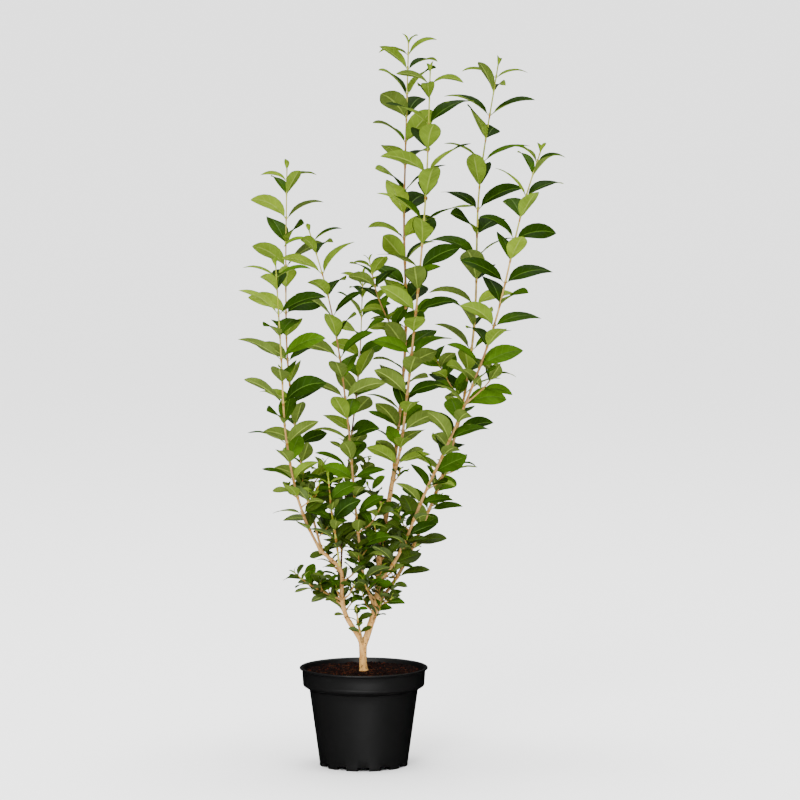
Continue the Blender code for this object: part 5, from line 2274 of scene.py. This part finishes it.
@dataclass
class Wood:
    """The trunk and both boughs as one skin with bark relief, in mm."""

    foliage: Foliage
    voxel: float = 0.5
    foot_flare: float = 1.8
    trunk_radius: float = 5.0
    fork_height: float = 158.0
    knob_radius: float = 1.05
    knob_gap: Span = (15.0, 24.0)
    lenticels: int = 520
    lenticel_height: float = 0.25
    grain: float = 0.16
    scars: list[Vector] = field(default_factory=list)

    TRUNK_HEIGHTS = (0.0, 1.2, 3.0, 6.0, 11.0, 20.0, 30.0)
    FLARE_FADE = 3.2
    TRUNK_GROWTH = 0.035
    BOUGH_STATIONS = 60
    BOUGH_NOISE = 0.05
    BOUGH_WAVES = 120.0
    COLLAR_PLACES = (0.0, 2.2, 4.6)
    COLLAR_WIDTHS = (1.35, 1.3, 1.12, 0.94)
    COLLAR_REACH = 0.35
    COLLAR_SINK = {Start.SIDE: 3.2, Start.TIP: 2.0}
    KNOB_ENDS = (14.0, 8.0)
    KNOB_SPREAD = (0.8, 1.25)
    KNOB_TURN = 12.0
    SPOT_REACH = (0.7, 1.7)
    SCAR_REACH = (1.3, 2.1)
    GRAIN_LONG = (900.0, 900.0, 160.0)
    GRAIN_ROUND = 220.0
    SMOOTHINGS = 5

    def tube(self, name: str, centres: Sequence[Vector], radii: Sequence[float]) -> Object:
        """A closed tube along some points.

        Args:
            name: The object's name.
            centres: The points, in metres.
            radii: The radius at each point, in metres.

        Returns:
            The tube as a mesh.
        """
        deselect_all()
        bpy.ops.curve.primitive_bezier_curve_add(location=(0.0, 0.0, 0.0))
        made = bpy.context.object
        made.name = name
        curve = made.data
        curve.splines.clear()
        spline = curve.splines.new("POLY")
        spline.points.add(len(centres) - 1)
        for knot, centre, radius in zip(spline.points, centres, radii):
            knot.co = (*centre, 1.0)
            knot.radius = radius
        curve.dimensions = "3D"
        curve.bevel_depth = 1.0
        curve.bevel_resolution = 8
        curve.use_fill_caps = True
        bpy.ops.object.convert(target="MESH")
        return bpy.context.object

    def trunk(self) -> Object:
        """Make the short trunk with its root flare, up into the fork.

        Returns:
            Its core.
        """
        low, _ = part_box("trunk")
        foot = low.z / MM - 1.5
        centres = []
        radii = []
        for height in (*self.TRUNK_HEIGHTS, self.fork_height - foot + 4.0):
            flare = self.foot_flare * math.exp(-height / self.FLARE_FADE)
            lean = -min(1.0, height / 10.0)
            centres.append(Vector((lean, 0.0, foot + height)) * MM)
            radii.append((self.trunk_radius + flare + self.TRUNK_GROWTH * max(0.0, height - 20.0)) * MM)
        return self.tube("trunk_core", centres, radii)

    def bough(self, name: str) -> Object:
        """Make one bough, carried down into the trunk.

        Args:
            name: The bough's name.

        Returns:
            Its core.
        """
        stem = self.foliage.limbs[name]
        distances = [stem.length * i / self.BOUGH_STATIONS for i in range(self.BOUGH_STATIONS + 1)]
        centres = [stem.smooth_at(d) for d in distances]
        radii = [stem.radius(d) * (1.0 + self.BOUGH_NOISE * noise.noise(c * self.BOUGH_WAVES))
                 for d, c in zip(distances, centres)]
        root = Vector((-1.0, 0.0, self.fork_height)) * MM
        lead = [root.lerp(centres[0], share) for share in (0.0, 0.35, 0.7)]
        return self.tube(f"{name}_core", lead + centres, [radii[0] * 0.98] * 3 + radii)

    def collars(self) -> list[Object]:
        """Make the swollen collar where each shoot leaves its bough or the trunk.

        Returns:
            The collars.
        """
        made = []
        for growth in self.foliage.growths:
            stem = growth.main
            foot = stem.smooth_at(0.0)
            nearest = min(growth.carrier.path, key=lambda point: (point - foot).length)
            inner = foot.lerp(nearest, self.COLLAR_REACH) if growth.mass.start is Start.SIDE else foot
            tangent = (stem.smooth_at(4.0 * MM) - foot).normalized()
            start = foot - tangent * self.COLLAR_SINK[growth.mass.start] * MM
            centres = [start.lerp(inner, 0.3)] + [foot + tangent * along * MM for along in self.COLLAR_PLACES]
            radii = [stem.foot_radius * share for share in self.COLLAR_WIDTHS]
            made.append(self.tube(f"{growth.mass.name}_collar", centres, radii))
        return made

    def knobs(self) -> list[Object]:
        """Set small bud scars in crossed pairs up both boughs.

        Returns:
            The scars.
        """
        dice = random.Random("knobs")
        made = []
        for limb in LIMBS:
            stem = self.foliage.limbs[limb.name]
            distance = self.KNOB_ENDS[0] * MM
            turn = dice.uniform(0.0, 90.0)
            while distance < stem.length - self.KNOB_ENDS[1] * MM:
                centre = stem.smooth_at(distance)
                tangent = stem.at(distance)[1]
                for half_turn in (0.0, 180.0):
                    out = axis_at(tangent, turn + half_turn)
                    spot = centre + out * stem.radius(distance) * 0.9
                    self.scars.append(centre + out * stem.radius(distance) * 1.1)
                    deselect_all()
                    radius = self.knob_radius * dice.uniform(*self.KNOB_SPREAD) * MM
                    bpy.ops.mesh.primitive_ico_sphere_add(subdivisions=2, radius=radius, location=spot)
                    bpy.ops.transform.resize(value=(1.0, 1.0, 0.8))
                    bpy.ops.object.transform_apply(location=True, rotation=True, scale=True)
                    made.append(bpy.context.object)
                turn += 90.0 + dice.uniform(-self.KNOB_TURN, self.KNOB_TURN)
                distance += dice.uniform(*self.knob_gap) * MM
        return made

    def add_relief(self, wood: Object) -> None:
        """Raise the grain and the lenticels, and mark the lenticels for their colour.

        Args:
            wood: The melted skin of the trunk and boughs.
        """
        mesh = wood.data
        count = len(mesh.vertices)
        places = np.zeros(count * 3, np.float32)
        normals = np.zeros(count * 3, np.float32)
        mesh.vertices.foreach_get("co", places)
        mesh.vertices.foreach_get("normal", normals)
        places = places.reshape(count, 3)
        dice = random.Random("lenticels")
        search = KDTree(count)
        for index, place in enumerate(places):
            search.insert(place, index)
        search.balance()
        marks = np.zeros(count, np.float32)
        spots = []
        for _ in range(self.lenticels):
            spots.append((Vector(places[dice.randrange(count)]), dice.uniform(*self.SPOT_REACH) * MM))
        spots += [(scar, dice.uniform(*self.SCAR_REACH) * MM) for scar in self.scars]
        for middle, reach in spots:
            for place, index, _ in search.find_range(middle, reach * 1.4):
                apart = place - middle
                apart.z *= 1.5
                marks[index] = max(marks[index], 1.0 - min(1.0, apart.length / reach))
        lifts = marks * self.lenticel_height
        for index, place in enumerate(places):
            stretched = Vector(place * self.GRAIN_LONG)
            rough = noise.noise(stretched) + noise.noise(Vector(place) * self.GRAIN_ROUND)
            lifts[index] += rough * self.grain
        places += normals.reshape(count, 3) * lifts[:, None] * MM
        mesh.vertices.foreach_set("co", places.ravel())
        mesh.attributes.new("lenticel", "FLOAT", "POINT").data.foreach_set("value", marks)
        mesh.update()

    def build(self) -> Object:
        """Join the cores, melt them into one skin, and add the bark's relief.

        Returns:
            The wood.
        """
        cores = [self.trunk(), self.bough("bough_left"), self.bough("bough_right")]
        cores += self.collars() + self.knobs()
        deselect_all()
        for core in cores:
            core.select_set(True)
        bpy.context.view_layer.objects.active = cores[0]
        bpy.ops.object.join()
        wood = bpy.context.object
        wood.name = "trunk_and_boughs"
        wood.data.name = "trunk_and_boughs"
        apply_modifier("REMESH", mode="VOXEL", voxel_size=self.voxel * MM, adaptivity=0.0)
        apply_modifier("SMOOTH", factor=0.5, iterations=self.SMOOTHINGS)
        self.add_relief(wood)
        bpy.ops.object.shade_smooth()
        wood.data.materials.clear()
        wood.data.materials.append(BarkFinish().dress())
        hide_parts("trunk", "bough_left", "bough_right")
        return wood


# Studio


@dataclass
class Studio:
    """The plain pale floor, the soft light and the camera at the photograph's viewing angle.

    The floor is a wide shallow dish in metres, from its rim inwards, so that it is also the backdrop. The
    low lamp spares the floor, where its own foot would draw a hard edge.
    """

    camera_place: Point = (0.0486, -4.4, 0.7947)
    camera_pitch: float = 3.961
    lens: float = 148.86
    dish: Pairs = (
        (150.0, 24.0), (60.0, 7.0), (36.0, 2.8), (24.0, 1.1), (16.0, 0.3), (11.0, 0.0))
    lamps: tuple[tuple[str, Point, float, float], ...] = (
        ("key_left", (-1.4, -4.6, 3.0), 2.0, 300.0),
        ("fill_low", (0.7, -4.9, 0.5), 2.0, 135.0),
        ("top", (0.3, 0.8, 4.2), 4.0, 160.0))
    low_lamp: str = "fill_low"
    aim: Point = (0.05, 0.0, 0.5)
    dish_segments: int = 160
    surroundings: float = 0.34
    floor_wash: float = 7.8
    wash_angle: float = 50.0

    def camera(self) -> None:
        """Stand the camera as for the photograph."""
        bpy.ops.object.camera_add(
            location=self.camera_place, rotation=(math.radians(90.0 - self.camera_pitch), 0.0, 0.0))
        camera = bpy.context.object
        camera.data.lens = self.lens
        camera.data.sensor_width = 36.0
        camera.data.clip_end = 400.0
        bpy.context.scene.camera = camera

    def floor(self) -> Object:
        """Lay the floor, which rises gently on every side far behind the plant.

        Returns:
            The floor.
        """
        (radius, height), *inner = self.dish
        turned = Turned("studio_floor", radius / MM, height / MM, self.dish_segments, filled=False)
        for next_radius, next_height in inner:
            turned.step(next_radius / MM, next_height / MM)
        floor = turned.close()
        bpy.ops.object.shade_smooth()
        floor.data.materials.append(FloorFinish().dress())
        floor.visible_glossy = False
        floor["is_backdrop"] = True
        return floor

    def light(self, name: str, place: Point, size: float, power: float) -> Object:
        """Hang one large soft light that faces the plant.

        Args:
            name: The light's name.
            place: Where it hangs.
            size: The side of its square.
            power: Its power in watts.

        Returns:
            The light.
        """
        bpy.ops.object.light_add(type="AREA", location=place)
        lamp = bpy.context.object
        lamp.name = name
        lamp.data.size = size
        lamp.data.energy = power
        towards = Vector(self.aim) - Vector(place)
        lamp.rotation_mode = "QUATERNION"
        lamp.rotation_quaternion = towards.to_track_quat("-Z", "Y")
        return lamp

    def bind(self, lamp: Object, floor: Object, state: str) -> None:
        """Let a lamp light the floor alone, or everything but the floor.

        Args:
            lamp: The lamp.
            floor: The floor.
            state: INCLUDE or EXCLUDE.
        """
        bound = bpy.data.collections.new(f"{lamp.name}_lights")
        bound.objects.link(floor)
        bound.collection_objects[0].light_linking.link_state = state
        lamp.light_linking.receiver_collection = bound

    def wash(self, floor: Object) -> None:
        """Light the floor alone, evenly and from straight above, so that it stays pale to the back.

        Args:
            floor: The floor.
        """
        bpy.ops.object.light_add(type="SUN", location=(0.0, 0.0, 6.0))
        lamp = bpy.context.object
        lamp.name = "floor_wash"
        lamp.data.energy = self.floor_wash
        lamp.data.angle = math.radians(self.wash_angle)
        self.bind(lamp, floor, "INCLUDE")

    def build(self) -> None:
        """Set up camera, floor, lights and surroundings."""
        self.camera()
        floor = self.floor()
        self.wash(floor)
        for name, place, size, power in self.lamps:
            lamp = self.light(name, place, size, power)
            if name == self.low_lamp:
                self.bind(lamp, floor, "EXCLUDE")
        self.surround()

    def surround(self) -> None:
        """Light the scene evenly from all round."""
        world = bpy.data.worlds.new("studio")
        world.use_nodes = True
        background = world.node_tree.nodes["Background"]
        background.inputs["Color"].default_value = (1.0, 1.0, 1.0, 1.0)
        background.inputs["Strength"].default_value = self.surroundings
        world.cycles_visibility.glossy = False
        bpy.context.scene.world = world


def main() -> None:
    """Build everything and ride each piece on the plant's body."""
    logging.basicConfig(level=logging.INFO, format="%(message)s")
    cad_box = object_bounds()
    Studio().build()
    foliage = Foliage()
    pieces = [Pot().build(), *Compost().build(), Wood(foliage).build(), *foliage.build(cad_box)]
    for piece in pieces:
        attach(piece, ROOT)
        triangles = sum(len(polygon.vertices) - 2 for polygon in piece.data.polygons)
        log.info("%s: %d triangles", piece.name, triangles)
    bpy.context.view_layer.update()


if __name__ == "__main__":
    main()
